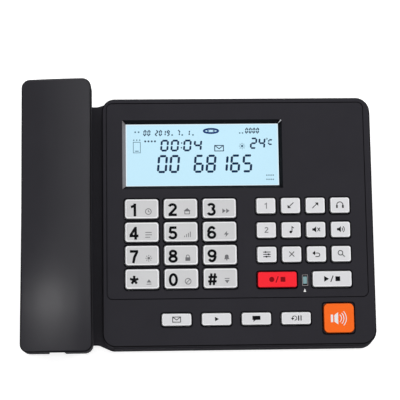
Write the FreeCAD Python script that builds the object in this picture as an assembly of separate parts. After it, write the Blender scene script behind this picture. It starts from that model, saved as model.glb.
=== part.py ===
"""Corded desk telephone with answering and recording keys, in millimetres.

The handset lies in a cradle on the left of a sloping body. The body has a display, a number pad,
function keys and a loudspeaker key. Two frames are used: the world frame (+X right, +Y back, +Z up)
and the face frame, where u runs right from the body's left edge, v runs up the sloping face from its
front edge, and w stands out of the face. to_world and to_face change from one to the other.
"""
import FreeCAD
import Part
import math
import os

Vector = FreeCAD.Vector

# ---- Body and housings ---------------------------------------------------------------------------
TILT = 9.0                    # slope of the face, degrees
FRONT_HEIGHT = 18.2           # desk to the front edge of the face
BODY_WIDTH = 190.5
FACE_DEPTH = 175.0            # along the slope
BODY_CORNER_LEFT = 9.0
BODY_CORNER_RIGHT = 10.0
EDGE_ROUND = 1.2              # rounding of the cover's outer top edges
CRADLE_WIDTH = 53.0           # cradle left of the body
CRADLE_CORNER = 10.0
CRADLE_DROP = 8.0             # cradle deck below the face
CRADLE_FRONT_SETBACK = 4.4
CRADLE_BACK_SETBACK = 3.0
SWEEP_LEFT = -3.0             # where the S-shaped sweep from cradle to body starts and ends
SWEEP_RIGHT = 6.5
SWEEP_ROUND = 7.0
SKIRT = 3.5                   # height of the cover's outer wall
PARTING_GAP = 0.3
RIM_LEDGE = 0.6               # how far the lower housing stands out past the cover
COVER = 2.2                   # thickness of the cover's top and of the face panel
DECK = 2.0                    # thickness of the cradle deck
WALL = 2.0
FLOOR = 2.4
BOTTOM_CHAMFER = 2.4
LIP = 1.2                     # thickness of the cover's locating lip
LIP_REACH = 2.5               # how far the lip goes down inside the lower housing
SLIP = 0.2                    # clearance between pieces that slide together on assembly
WELD = 0.1                    # how deep solids reach into each other before they are fused
FOOT_HEIGHT = 1.5
FOOT_RADIUS = 6.0
FOOT_CHAMFER = 0.5
FOOT_INSET = 13.0             # foot centre from the sides of the base
FOOT_SETBACK = 21.0           # foot centre from the front and back of the cradle
FOOT_RIM = (1.2, 0.5)         # width and height of the rim moulded round each foot
RIB_THICK = 1.2               # stiffening ribs on the floor and webs on the screw posts
RIB_HEIGHT = 1.4
RIB_SPACING = 32.0            # largest distance between neighbouring ribs
RIB_MARGIN = 6.0              # ribs from the battery bay and from the cradle
POST_WEB = (3.0, 1.5)         # web past its screw post, and its top below the post's

# ---- Face panel and display ----------------------------------------------------------------------
PANEL_LEFT = 2.9              # panel seam, from the edges of the face
PANEL_RIGHT = 4.6
PANEL_TOP = 3.2
PANEL_BOTTOM = 32.5
PANEL_CORNER = 4.2
SEAM = 0.6                    # width of the groove round the panel
LEDGE = 6.0                   # width of the ledge that carries the panel
LEDGE_LAP = 2.0               # how far the ledge reaches in front of the panel, under the cover
LEDGE_THICK = 1.2             # ends above the cover's lower edge, clear of the lower housing
PEG_RADIUS = 1.0              # pegs under the panel that stand in holes of its ledge
PEG_GAP = 0.15
PEG_INSET = 3.0               # peg centres from the panel's edges
PEG_END = 0.5                 # pegs past the ledge, where they are staked
DISPLAY_LEFT = 16.75          # lit area's left edge, from the left edge of the face
DISPLAY_SETBACK = 18.0        # lit area's top edge, from the back edge of the face
DISPLAY_WIDTH = 108.3         # lit area
DISPLAY_HEIGHT = 44.4
BEVEL = 2.45                  # slope of the frame, seen from above
BEVEL_DEPTH = 3.2
COLLAR = 4.0                  # collar round the display opening, under the panel
WINDOW_THICK = 1.2
GLASS_THICK = 2.6
GLASS_MARGIN = 3.5            # the glass and backlight reach past the lit area
WINDOW_MARGIN = 3.0           # the clear window reaches past the lit area
GLASS_GAP = 0.1               # between the window and the glass
PLATE_CORNER = 0.8

# ---- Keys ----------------------------------------------------------------------------------------
KEY_TRAVEL = 1.0
KEY_CLEAR = 0.4               # gap round a key cap in its opening
KEY_RISE = 1.8                # cap above the face
KEY_ROUND = 0.55              # rounding of a cap's top edges
KEY_FLANGE = 1.0              # how far the retaining flange reaches past the cap
KEY_FLANGE_THICK = 1.2
KEY_FLANGE_GAP = 0.2
STEM_RADIUS = 2.4
STEM_LENGTH = 3.4
DOME_RADIUS = 3.6
DOME_TAPER = 0.7              # a dome's top radius as a share of its foot's

# The key blocks fill the room that their margins and gaps leave them.
KEYS_LEFT = 15.9              # number block, from the left edge of the face
KEYS_RIGHT = 16.65            # function block, from the right edge of the face
KEYS_BELOW_DISPLAY = 9.8      # between the lit area and the top row
KEYS_ABOVE_SEAM = 7.4         # between the panel's lower edge and the bottom row
BLOCK_GAP = 14.3              # between the number block and the function block
NUMBER_SHARE = 0.542          # the number block's share of the room across
NUMBER_GAP = (3.75, 2.65)     # between neighbouring keys, across and along the slope
NUMBER_CORNER = 1.9
FUNCTION_GAP = (3.85, 6.25)
FUNCTION_CORNER = 1.6
RECORD_EXTRA_GAP = 0.4        # more above the record keys than between the rows above them
RECORD_GAP = 11.0             # between the two record keys
STRIP_HEIGHT = 8.4
STRIP_CORNER = 1.5
STRIP_LEFT = 41.0
STRIP_FRONT = 18.3            # centre of the strip keys above the face's front edge
STRIP_GAP = 7.3
SPEAKER_GAP = 9.1             # between the last strip key and the speaker key
SPEAKER_KEY = (21.2, 20.45, 3.4)         # width, height, corner radius
SPEAKER_INSET = 26.3          # centre from the right edge of the face
SPEAKER_FRONT = 18.1
INDICATOR_WIDTH = 4.3
INDICATOR_CORNER = 0.5
INDICATOR_SHORTER = 1.95      # than the record keys, with its lower end in line with theirs
INDICATOR_OFFSET = 0.4        # to the right of the middle between the record keys
INDICATOR_RISE = 0.25
INDICATOR_FLANGE = 1.0        # how far the light pipe's flange reaches past it
LAMP_RADIUS = 1.5
LAMP_HEIGHT = 3.0

# ---- Board, mat and screws -----------------------------------------------------------------------
BOARD_DEPTH = 10.6            # board's top below the face
BOARD_THICK = 1.6
BOARD_MARGIN = 3.4            # board edge from the left and right edges of the face
BOARD_FRONT = 8.0
BOARD_SETBACK = 12.5          # board's back edge from the back edge of the face
BOARD_CORNER = 3.0
BOARD_PARTS = (               # centre from the board's front left corner, size and height below it
    ((56.6, 62), (14, 14), 1.6),
    ((98.6, 66), (18, 10), 1.8),
    ((146.6, 76), (20, 12), 9.0),
    ((36.6, 52), (10, 6), 1.6),
    ((146.6, 102), (16, 12), 11.0),
)
MAT_THICK = 1.2
MAT_MARGIN = 4.1              # mat's edge from the centres of the outermost keys
BOARD_NOTCH_GAP = 0.8         # round the case bosses that pass the board
BOARD_BOSS_RADIUS = 3.0
BOARD_BOSS_INSET = 7.2
BOARD_BOSS_FRONT = 37.0       # front, middle and back rows of the board's bosses
BOARD_BOSS_MIDDLE = 104.0
BOARD_BOSS_SETBACK = 4.0      # back row from the board's back edge
BOARD_WEB_LIFT = 2.0          # lower edge of the bosses' webs above the board
BOARD_SCREW_RADIUS = 1.1
BOARD_SCREW_HEAD = (2.3, 1.4)            # radius, height
BOARD_SCREW_BITE = 5.0        # thread length in the boss
CASE_BOSS_RADIUS = 3.5
CASE_POST_RADIUS = 4.0
CASE_BOSS_MEET = 8.4          # height above the desk where the bosses of the two housings meet
CASE_SCREW_RADIUS = 1.45
CASE_SCREW_HEAD = (2.8, 2.0)
CASE_SCREW_LENGTH = 9.4
COUNTERBORE_DEPTH = 3.2
THREAD_GAP = 0.05
CASE_SCREW_FRONT = (12.0, 9.0, 13.5)     # front screws from the left, right and front edges of the body
CASE_SCREW_BACK_LEFT = (20.0, 6.2)       # back screws from the nearer side and the back edge of the body
CASE_SCREW_BACK_RIGHT = (12.5, 7.8)
CASE_SCREW_CRADLE = (7.5, 52.0, 104.5)   # cradle screws from its left edge, and their y

# ---- Cradle --------------------------------------------------------------------------------------
HANDSET_INSET = 21.8          # handset's centre line from the cradle's left edge
EAR_SETBACK = 39.6            # ear cup's centre from the handset's back end
EAR_LENGTH = 38.0
EAR_DEPTH = 18.0              # underside of the ear cup below the face
MOUTH_PLACE = 26.5            # v of the mouth cup's centre
MOUTH_LENGTH = 34.0
MOUTH_DEPTH = 13.0
CUP_WIDTH = 37.0
CUP_CORNER = 12.0
CUP_DRAFT = 1.6               # how much a cup narrows towards its face, each side
WELL_CLEAR = 0.5
WELL_FLOOR_GAP = 0.3
WELL_WALL = 1.6
LOUDSPEAKER_RADIUS = 20.0
LOUDSPEAKER_DEPTH = 12.0
MAGNET_RADIUS = 11.5
LOUDSPEAKER_COLLAR = 4.0      # height of the collar that centres the loudspeaker
LOUDSPEAKER_HUB = (5.0, 3.5)  # radius and depth of the cone's hub
LOUDSPEAKER_RIM = 1.6         # thickness of its rim
CATCH_COUNT = 3               # catches on the collar that hold the rim
CATCH_SIZE = (6.0, 1.2, 1.2)  # width, reach over the rim, thickness
BASKET_FLARE = 2.0            # basket past the magnet, where they meet
BASKET_HEIGHT = 5.0           # from the magnet's back to the basket
GRILLE_SLOTS = 9
GRILLE_PITCH = 3.6
GRILLE_SLOT = 1.6
HOOK_SETBACK = 31.0           # plunger's centre in front of the ear cup's
HOOK_WIDTH = 12.0
HOOK_LENGTH = 7.0
HOOK_CORNER = 1.5
HOOK_GAP = 0.3                # round the plunger in its opening, and above the switch's lever
HOOK_TRAVEL = 4.0
HOOK_STAND = 0.6              # plunger above the deck with the handset down
HOOK_FLANGE = 1.5             # thickness of the flange, and how far it reaches past the plunger
HOOK_FLANGE_REACH = 1.2
HOOK_ROUND = 1.0
HOOK_SWITCH = (20.0, 9.0, 7.0)           # length, width, height with its lever
HOOK_LEVER = (14.0, 4.0, 0.5)
HOOK_LEVER_RISE = 1.6         # lever's top above the switch's body
MICROPHONE_PLACE = 68.0       # u of the hands-free microphone
MICROPHONE_RADIUS = 3.0
MICROPHONE_LENGTH = 5.0
MICROPHONE_HOLE = 0.8

# ---- Handset -------------------------------------------------------------------------------------
HANDSET_OVERHANG = 11.6       # handset past the back edge of the face
HANDSET_FRONT = -3.4          # v of the handset's front end
HANDSET_SKEW = 0.7            # the far end's slant: half its difference from side to side
HANDSET_HALF_BACK = 24.2      # half widths
HANDSET_HALF_WAIST = 23.9
HANDSET_HALF_FRONT = 24.8
HANDSET_CORNER = 6.0
HANDSET_TOP = 16.0            # highest point of the outer shell above the face
HANDSET_SEAM = 3.0            # level of the seam between the shells
HANDSET_UNDER = -6.8          # underside of the grip
HANDSET_END_DRAFT = 0.9       # the front end wall leans out by this much towards the underside
CROWN_ACROSS = 300.0          # radii of the outer shell's crown
CROWN_ALONG = 4000.0
HANDSET_ROUND = 1.4
HANDSET_UNDER_ROUND = 3.0
HANDSET_WALL = 2.2
HANDSET_SEAM_GAP = 0.3
JACK_SLOT = 11.4              # width of the slot for the cord socket
JACK_SLOT_TOP = 4.6           # slot's top below the outer shell's highest point
JACK_RECESS = 2.2             # socket face behind the end wall
SHELL_TOP = 5.2               # thickness of the outer shell's crown at its highest
CUP_ROUND = 1.5
EAR_DISH = (13.0, 0.9)        # radius and depth of the hollow in a cup's face
MOUTH_DISH = (10.5, 0.8)
TONGUE_HEIGHT = 1.6           # locating tongue of the inner shell inside the outer shell's wall
HANDSET_POST_RADIUS = 3.0
HANDSET_POST_MEET = 0.0       # level where the screw posts of the two shells meet
HANDSET_SCREW_SEAT = 1.6      # depth of the screw heads' counterbores
HANDSET_SCREW_LENGTH = 10.0
EAR_HOLES = ((3.6, 6), (7.2, 12))        # ring radius and number of holes
EAR_HOLE_RADIUS = 0.8
MOUTH_HOLES = ((2.8, 4),)
MOUTH_HOLE_RADIUS = 0.7
MOUTH_RING = 3.0              # height of the ring that holds the mouthpiece
EARPIECE_RADIUS = 14.2
EARPIECE_THICK = 7.5
EARPIECE_STEP = (3.0, 3.0, 2.0)          # step in its back: across, down, then further down to the rim
MOUTHPIECE_RADIUS = 4.9
MOUTHPIECE_THICK = 5.5
WEIGHT_SIZE = (22.0, 4.0)     # width and thickness
WEIGHT_GAP = 8.3              # between the weight's ends and the screw posts
HANDSET_SCREW_FROM_MOUTH = 30.5          # screws from the centres of the two cups
HANDSET_SCREW_FROM_EAR = 23.0

# ---- Sockets and battery bay, in the world frame -------------------------------------------------
MODULAR_BODY = 12.0           # outside width and height of a cord socket's body
MODULAR_DEPTH = 14.0
MODULAR_HEIGHT = 6.9          # opening height
LINE_OPENING = 9.9            # opening widths
CORD_OPENING = 7.9
OPENING_DEPTH = 10.0
OPENING_MARGIN = 0.5          # wall opening past the socket's opening, each side
LATCH_SLOT = (4.0, 1.4)       # width and depth of the groove for the plug's latch
SOCKET_BOTTOM = 5.6           # underside of the socket bodies above the desk
LINE_SOCKET_INSET = 40.5      # centres of the sockets from the right edge of the body
CORD_SOCKET_OFFSET = 6.0      # its centre in front of the ear cup's
EARPHONE_INSET = 56.5
EARPHONE_RADIUS = 1.8
EARPHONE_BODY = 8.0
EARPHONE_NOSE = 3.0           # radius of the nose that stands in the wall
CELL_RADIUS = 7.25
CELL_LENGTH = 50.5
CELL_COUNT = 3
CELL_GAP = 0.1
CELL_PITCH = 15.0
CELL_BUTTON = (2.7, 1.0)      # radius and height of a cell's raised end
BAY_INSET = 98.5              # bay's middle from the right edge of the body
BAY_SETBACK = 15.8            # from the back edge of the body
BAY_WALL = 1.5
CONTACT_ROOM = 1.9            # room for the contacts at each end of the cells
CONTACT_PLATE = 0.5
CONTACT_SIZE = 10.0
CONTACT_SPRING = (3.6, 2.2)   # radii of a contact's conical spring
DOOR_OVERLAP = 2.4            # door past the bay, each side
DOOR_TONGUE = 1.2             # width of the tongue that rides on the housing's rail
RAIL_THICK = 1.1
DOOR_FLANGE = 0.9
DOOR_RIDGES = 5               # finger ridges near the door's outer end
RIDGE_START = 12.0
RIDGE_PITCH = 2.4
RIDGE_GROOVE = (18.0, 1.2, 0.5)          # length, width, depth

# ---- Worked out from the driving dimensions ------------------------------------------------------
SIN = math.sin(math.radians(TILT))
COS = math.cos(math.radians(TILT))
PLAN_DEPTH = FACE_DEPTH * COS
FLANGE_TOP = -COVER - KEY_FLANGE_GAP
STEM_END = FLANGE_TOP - KEY_FLANGE_THICK - STEM_LENGTH
DOME_TOP = STEM_END - KEY_TRAVEL - KEY_FLANGE_GAP
MAT_TOP = -BOARD_DEPTH + MAT_THICK
BOARD_UNDER = -BOARD_DEPTH - BOARD_THICK
PANEL = (PANEL_LEFT, BODY_WIDTH - PANEL_RIGHT, PANEL_BOTTOM, FACE_DEPTH - PANEL_TOP)
DISPLAY_CENTRE = (DISPLAY_LEFT + DISPLAY_WIDTH / 2, FACE_DEPTH - DISPLAY_SETBACK - DISPLAY_HEIGHT / 2)
KEYS_TOP = FACE_DEPTH - DISPLAY_SETBACK - DISPLAY_HEIGHT - KEYS_BELOW_DISPLAY
KEYS_BOTTOM = PANEL_BOTTOM + KEYS_ABOVE_SEAM
BLOCKS_WIDTH = BODY_WIDTH - KEYS_LEFT - KEYS_RIGHT - BLOCK_GAP
NUMBER_PITCH = ((NUMBER_SHARE * BLOCKS_WIDTH + NUMBER_GAP[0]) / 3,
                (KEYS_TOP - KEYS_BOTTOM + NUMBER_GAP[1]) / 4)
NUMBER_KEY = (NUMBER_PITCH[0] - NUMBER_GAP[0], NUMBER_PITCH[1] - NUMBER_GAP[1], NUMBER_CORNER)
NUMBER_ORIGIN = (KEYS_LEFT + NUMBER_KEY[0] / 2, KEYS_TOP - NUMBER_KEY[1] / 2)
FUNCTION_LEFT = KEYS_LEFT + NUMBER_SHARE * BLOCKS_WIDTH + BLOCK_GAP
FUNCTION_WIDTH = (1 - NUMBER_SHARE) * BLOCKS_WIDTH
FUNCTION_PITCH = ((FUNCTION_WIDTH + FUNCTION_GAP[0]) / 4,
                  (KEYS_TOP - KEYS_BOTTOM - RECORD_EXTRA_GAP + FUNCTION_GAP[1]) / 4)
FUNCTION_KEY = (FUNCTION_PITCH[0] - FUNCTION_GAP[0], FUNCTION_PITCH[1] - FUNCTION_GAP[1], FUNCTION_CORNER)
FUNCTION_ORIGIN = (FUNCTION_LEFT + FUNCTION_KEY[0] / 2, KEYS_TOP - FUNCTION_KEY[1] / 2)
RECORD_KEY = ((FUNCTION_WIDTH - RECORD_GAP) / 2, FUNCTION_KEY[1], FUNCTION_CORNER)
RECORD_ROW = KEYS_BOTTOM + RECORD_KEY[1] / 2
RECORD_CENTRES = ((FUNCTION_LEFT + RECORD_KEY[0] / 2, RECORD_ROW),
                  (FUNCTION_LEFT + FUNCTION_WIDTH - RECORD_KEY[0] / 2, RECORD_ROW))
INDICATOR = (INDICATOR_WIDTH, RECORD_KEY[1] - INDICATOR_SHORTER, INDICATOR_CORNER)
INDICATOR_CENTRE = (FUNCTION_LEFT + FUNCTION_WIDTH / 2 + INDICATOR_OFFSET, KEYS_BOTTOM + INDICATOR[1] / 2)
SPEAKER_CENTRE = (BODY_WIDTH - SPEAKER_INSET, SPEAKER_FRONT)
STRIP_RIGHT = SPEAKER_CENTRE[0] - SPEAKER_KEY[0] / 2 - SPEAKER_GAP
STRIP_PITCH = (STRIP_RIGHT - STRIP_LEFT + STRIP_GAP) / 4
STRIP_KEY = (STRIP_PITCH - STRIP_GAP, STRIP_HEIGHT, STRIP_CORNER)
STRIP_ORIGIN = (STRIP_LEFT + STRIP_KEY[0] / 2, STRIP_FRONT)
BOARD_BACK = FACE_DEPTH - BOARD_SETBACK
BOARD_BOSS_ROWS = (BOARD_BOSS_FRONT, BOARD_BOSS_MIDDLE, BOARD_BACK - BOARD_BOSS_SETBACK)
CASE_SCREW_PLACES = (
    (CASE_SCREW_FRONT[0], CASE_SCREW_FRONT[2]),
    (BODY_WIDTH - CASE_SCREW_FRONT[1], CASE_SCREW_FRONT[2]),
    (CASE_SCREW_BACK_LEFT[0], PLAN_DEPTH - CASE_SCREW_BACK_LEFT[1]),
    (BODY_WIDTH - CASE_SCREW_BACK_RIGHT[0], PLAN_DEPTH - CASE_SCREW_BACK_RIGHT[1]),
    (-CRADLE_WIDTH + CASE_SCREW_CRADLE[0], CASE_SCREW_CRADLE[1]),
    (-CRADLE_WIDTH + CASE_SCREW_CRADLE[0], CASE_SCREW_CRADLE[2]),
)
HANDSET_CENTRE = -CRADLE_WIDTH + HANDSET_INSET
HANDSET_BACK = FACE_DEPTH + HANDSET_OVERHANG
EAR_PLACE = HANDSET_BACK - EAR_SETBACK
HOOK_PLACE = EAR_PLACE - HOOK_SETBACK
WELL_MARGIN = WELL_CLEAR + WELL_WALL     # well's outer wall past its cup
LOUDSPEAKER_FRONT_LIMIT = MOUTH_PLACE + MOUTH_LENGTH / 2 + WELL_MARGIN
LOUDSPEAKER_BACK_LIMIT = HOOK_PLACE - HOOK_LENGTH / 2 - HOOK_FLANGE_REACH
LOUDSPEAKER_PLACE = (-CRADLE_WIDTH / 2, (LOUDSPEAKER_FRONT_LIMIT + LOUDSPEAKER_BACK_LIMIT) / 2)
HANDSET_SCREW_PLACES = (MOUTH_PLACE + HANDSET_SCREW_FROM_MOUTH, EAR_PLACE - HANDSET_SCREW_FROM_EAR)
CORD_SOCKET_Y = EAR_PLACE - CORD_SOCKET_OFFSET
LINE_SOCKET_X = BODY_WIDTH - LINE_SOCKET_INSET
EARPHONE_X = BODY_WIDTH - EARPHONE_INSET
BAY_CENTRE_X = BODY_WIDTH - BAY_INSET
BAY_FRONT_Y = PLAN_DEPTH - BAY_SETBACK - CELL_COUNT * CELL_PITCH
DECK_UNDER = -CRADLE_DROP - DECK
STEP_X = SWEEP_RIGHT + 1.0    # where the seam between the housings steps down to the cradle
WALL_INSIDE = WALL - RIM_LEDGE           # lower wall's inner face, inside the plan outline
FLOOR_TOP = FOOT_HEIGHT + FLOOR
FAR = 400.0                   # larger than the whole telephone


# ---- Frames and outlines -------------------------------------------------------------------------
def to_world(shape):
    """Move a shape from the face frame to the world frame."""
    moved = shape.copy()
    moved.rotate(Vector(0, 0, 0), Vector(1, 0, 0), TILT)
    moved.translate(Vector(0, 0, FRONT_HEIGHT))
    return moved


def to_face(shape):
    """Move a shape from the world frame to the face frame."""
    moved = shape.copy()
    moved.translate(Vector(0, 0, -FRONT_HEIGHT))
    moved.rotate(Vector(0, 0, 0), Vector(1, 0, 0), -TILT)
    return moved


def outline(corners, level=0.0):
    """Closed wire through (x, y, corner radius) points, with round corners as tangent arcs."""
    stretches = []
    for index, (x, y, radius) in enumerate(corners):
        here = Vector(x, y, level)
        last = Vector(corners[index - 1][0], corners[index - 1][1], level)
        following = corners[(index + 1) % len(corners)]
        onward = Vector(following[0], following[1], level)
        back = (last - here).normalize()
        ahead = (onward - here).normalize()
        half = back.getAngle(ahead) / 2
        reach = radius / math.tan(half)
        inward = (back + ahead).normalize()
        middle = here + inward * (radius / math.sin(half) - radius)
        stretches.append((here + back * reach, middle, here + ahead * reach, radius))
    edges = []
    for index, (start, middle, end, radius) in enumerate(stretches):
        edges.append(Part.LineSegment(stretches[index - 1][2], start).toShape())
        if radius > 0:
            edges.append(Part.Arc(start, middle, end).toShape())
    return Part.Wire(edges)


def rectangle(centre, size, radius):
    """Corner list of a round-cornered rectangle."""
    half_x, half_y = size[0] / 2, size[1] / 2
    signs = ((-1, -1), (1, -1), (1, 1), (-1, 1))
    return [(centre[0] + sx * half_x, centre[1] + sy * half_y, radius) for sx, sy in signs]


def prism(wire, low, high):
    """Solid between two levels, from a wire that lies at level 0."""
    solid = Part.Face(wire).extrude(Vector(0, 0, high - low))
    solid.translate(Vector(0, 0, low))
    return solid


def block(centre, size, radius, low, high):
    """Round-cornered block between two levels."""
    return prism(outline(rectangle(centre, size, radius)), low, high)


def box(x, y, z):
    """Plain box from three (low, high) ranges."""
    return Part.makeBox(x[1] - x[0], y[1] - y[0], z[1] - z[0], Vector(x[0], y[0], z[0]))


def rod(place, radius, low, high):
    """Upright cylinder between two levels."""
    return Part.makeCylinder(radius, high - low, Vector(place[0], place[1], low))


def slab(low, high):
    """Everything between two levels of the face frame, given in the face frame."""
    return box((-FAR, FAR), (-FAR, FAR), (low, high))


def edges_at(shape, level):
    """Edges that lie wholly at one level."""
    found = []
    for edge in shape.Edges:
        bounds = edge.BoundBox
        if abs(bounds.ZMin - level) < 0.01 and abs(bounds.ZMax - level) < 0.01:
            found.append(edge)
    return found


def joined(first, others):
    """Fuse a solid with a list of solids and merge the faces that become one."""
    return first.fuse(others).removeSplitter()


def plate_opening(centre, size, growth, low, high):
    """Cutter for a key or window opening: the cap's outline grown by a clearance."""
    grown = (size[0] + 2 * growth, size[1] + 2 * growth)
    return block(centre, grown, size[2] + growth, low, high)


# ---- Plan outlines of the base, in the world frame -----------------------------------------------
def body_plan():
    """Outline of the sloping body alone."""
    return outline([
        (0, 0, BODY_CORNER_LEFT),
        (BODY_WIDTH, 0, BODY_CORNER_RIGHT),
        (BODY_WIDTH, PLAN_DEPTH, BODY_CORNER_RIGHT),
        (0, PLAN_DEPTH, BODY_CORNER_LEFT),
    ])


def base_plan():
    """Outline of the body and cradle together, with the sweeps between them."""
    cradle_back = PLAN_DEPTH - CRADLE_BACK_SETBACK
    return outline([
        (SWEEP_RIGHT, 0, SWEEP_ROUND),
        (BODY_WIDTH, 0, BODY_CORNER_RIGHT),
        (BODY_WIDTH, PLAN_DEPTH, BODY_CORNER_RIGHT),
        (SWEEP_RIGHT, PLAN_DEPTH, SWEEP_ROUND),
        (SWEEP_LEFT, cradle_back, SWEEP_ROUND),
        (-CRADLE_WIDTH, cradle_back, CRADLE_CORNER),
        (-CRADLE_WIDTH, CRADLE_FRONT_SETBACK, CRADLE_CORNER),
        (SWEEP_LEFT, CRADLE_FRONT_SETBACK, SWEEP_ROUND),
    ])


def upright(plan, inset):
    """Tall prism over a plan outline moved inwards by inset, given in the face frame."""
    wire = plan.makeOffset2D(-inset) if inset else plan
    return to_face(prism(wire, -FAR / 4, FAR / 2))


# ---- Places of the keys --------------------------------------------------------------------------
def key_list():
    """Every key as (node name, centre, size), in the face frame."""
    numbers = ("1", "2", "3", "4", "5", "6", "7", "8", "9", "star", "0", "hash")
    functions = ("memory_1", "incoming", "outgoing", "earphone", "memory_2", "music", "mute", "volume",
                 "setup", "cancel", "callback", "query")
    strip = ("leave_message", "message_play", "owner_message", "redial")
    keys = []
    for index, name in enumerate(numbers):
        row, column = divmod(index, 3)
        centre = (NUMBER_ORIGIN[0] + column * NUMBER_PITCH[0], NUMBER_ORIGIN[1] - row * NUMBER_PITCH[1])
        keys.append(("key_" + name, centre, NUMBER_KEY))
    for index, name in enumerate(functions):
        row, column = divmod(index, 4)
        centre = (FUNCTION_ORIGIN[0] + column * FUNCTION_PITCH[0],
                  FUNCTION_ORIGIN[1] - row * FUNCTION_PITCH[1])
        keys.append((name + "_key", centre, FUNCTION_KEY))
    keys.append(("record_key", RECORD_CENTRES[0], RECORD_KEY))
    keys.append(("record_play_key", RECORD_CENTRES[1], RECORD_KEY))
    for index, name in enumerate(strip):
        keys.append((name + "_key", (STRIP_ORIGIN[0] + index * STRIP_PITCH, STRIP_ORIGIN[1]), STRIP_KEY))
    keys.append(("hands_free_key", SPEAKER_CENTRE, SPEAKER_KEY))
    return keys


def key_cap(centre, size):
    """Cap with rounded top edges, a flange that keeps it under the cover, and a stem."""
    cap = block(centre, size, size[2], FLANGE_TOP, KEY_RISE)
    cap = cap.makeFillet(KEY_ROUND, edges_at(cap, KEY_RISE))
    flange_size = (size[0] + 2 * KEY_FLANGE, size[1] + 2 * KEY_FLANGE)
    flange = block(centre, flange_size, size[2] + KEY_FLANGE, FLANGE_TOP - KEY_FLANGE_THICK, FLANGE_TOP)
    stem = rod(centre, STEM_RADIUS, STEM_END, FLANGE_TOP)
    return joined(cap, [flange, stem])


# ---- Cradle wells and the handset's cups ---------------------------------------------------------
def cup(place, length, low, high, growth):
    """Tapered round-cornered cup under the handset, grown by a clearance."""
    wires = []
    for level, narrowing in ((low, CUP_DRAFT), (high, 0.0)):
        size = (CUP_WIDTH + 2 * growth - 2 * narrowing, length + 2 * growth - 2 * narrowing)
        corner = CUP_CORNER + growth - narrowing
        wires.append(outline(rectangle((HANDSET_CENTRE, place), size, corner), level))
    return Part.makeLoft(wires, True, True)


def wells():
    """The tubs that the cover has under the handset's two cups, and their hollows."""
    tubs, hollows = [], []
    cups = ((EAR_PLACE, EAR_LENGTH, EAR_DEPTH), (MOUTH_PLACE, MOUTH_LENGTH, MOUTH_DEPTH))
    for place, length, depth in cups:
        floor = -depth - WELL_FLOOR_GAP
        tubs.append(cup(place, length, floor - WELL_WALL, -CRADLE_DROP - DECK / 2, WELL_CLEAR + WELL_WALL))
        hollows.append(cup(place, length, floor, -CRADLE_DROP + 0.01, WELL_CLEAR))
    return tubs, hollows


def grille_slots():
    """Slots in the deck over the loudspeaker, as long as its round cone allows."""
    slots = []
    reach = LOUDSPEAKER_RADIUS - 3.0
    for index in range(GRILLE_SLOTS):
        offset = (index - (GRILLE_SLOTS - 1) / 2) * GRILLE_PITCH
        length = 2 * math.sqrt(reach ** 2 - offset ** 2)
        centre = (LOUDSPEAKER_PLACE[0], LOUDSPEAKER_PLACE[1] + offset)
        slots.append(block(centre, (length, GRILLE_SLOT), GRILLE_SLOT / 2 - 0.01, DECK_UNDER - 1,
                           -CRADLE_DROP + 1))
    return slots


# ---- Upper housing -------------------------------------------------------------------------------
def cover_shell():
    """Outer skin of the cover: the sloping top, the step down to the cradle, and the deck."""
    body = upright(body_plan(), 0)
    base = upright(base_plan(), 0)
    left = box((-FAR, STEP_X), (-FAR, FAR), (-FAR, FAR))
    cradle_skirt = -CRADLE_DROP - SKIRT
    top = body.common(slab(-SKIRT, 0))
    step = body.common(left).common(slab(cradle_skirt, 0))
    deck = base.common(left).common(slab(cradle_skirt, -CRADLE_DROP))
    shell = joined(top, [step, deck])
    shell = shell.makeFillet(EDGE_ROUND, edges_at(shell, 0.0))
    under_top = upright(body_plan(), WALL).common(slab(-FAR / 4, -COVER))
    under_deck = upright(base_plan(), WALL).common(slab(-FAR / 4, DECK_UNDER))
    return shell.cut([under_top, under_deck])


def cover_lip():
    """Locating lip that drops inside the lower housing's wall."""
    outer = WALL_INSIDE + SLIP
    ring = upright(base_plan(), outer).cut(upright(base_plan(), outer + LIP))
    low = -SKIRT - LIP_REACH
    right = box((STEP_X + LIP, FAR), (-FAR, FAR), (low, -COVER + 2 * WELD))
    left = box((-FAR, STEP_X - LIP), (-FAR, FAR), (low - CRADLE_DROP, DECK_UNDER + 2 * WELD))
    return ring.common(right).fuse(ring.common(left))


def panel_frame():
    """Thicker stretch of the cover round the face panel, before its recess is cut."""
    stretch = box((-FAR, FAR), (PANEL_BOTTOM - LEDGE_LAP, FAR), (-COVER - LEDGE_THICK, -COVER / 2))
    return upright(body_plan(), WALL / 2).common(stretch)


def panel_recess():
    """Recess for the face panel and the window inside its ledge."""
    u0, u1, v0, v1 = PANEL
    centre = ((u0 + u1) / 2, (v0 + v1) / 2)
    size = (u1 - u0, v1 - v0)
    inner = (size[0] - 2 * LEDGE, size[1] - 2 * LEDGE)
    recess = block(centre, size, PANEL_CORNER, -COVER, 1)
    window = block(centre, inner, PANEL_CORNER, -COVER - LEDGE_THICK - 1, 1)
    return recess.fuse(window)


def board_boss_places():
    """Centres of the board's six screw bosses, in the face frame."""
    columns = (BOARD_BOSS_INSET, BODY_WIDTH - BOARD_BOSS_INSET - (PANEL_RIGHT - PANEL_LEFT))
    return [(u, v) for u in columns for v in BOARD_BOSS_ROWS]


def case_boss(place, low, radius):
    """Upright boss in the world frame, from a height above the desk to above the cover."""
    return to_face(rod(place, radius, low, FAR / 4))


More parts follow.
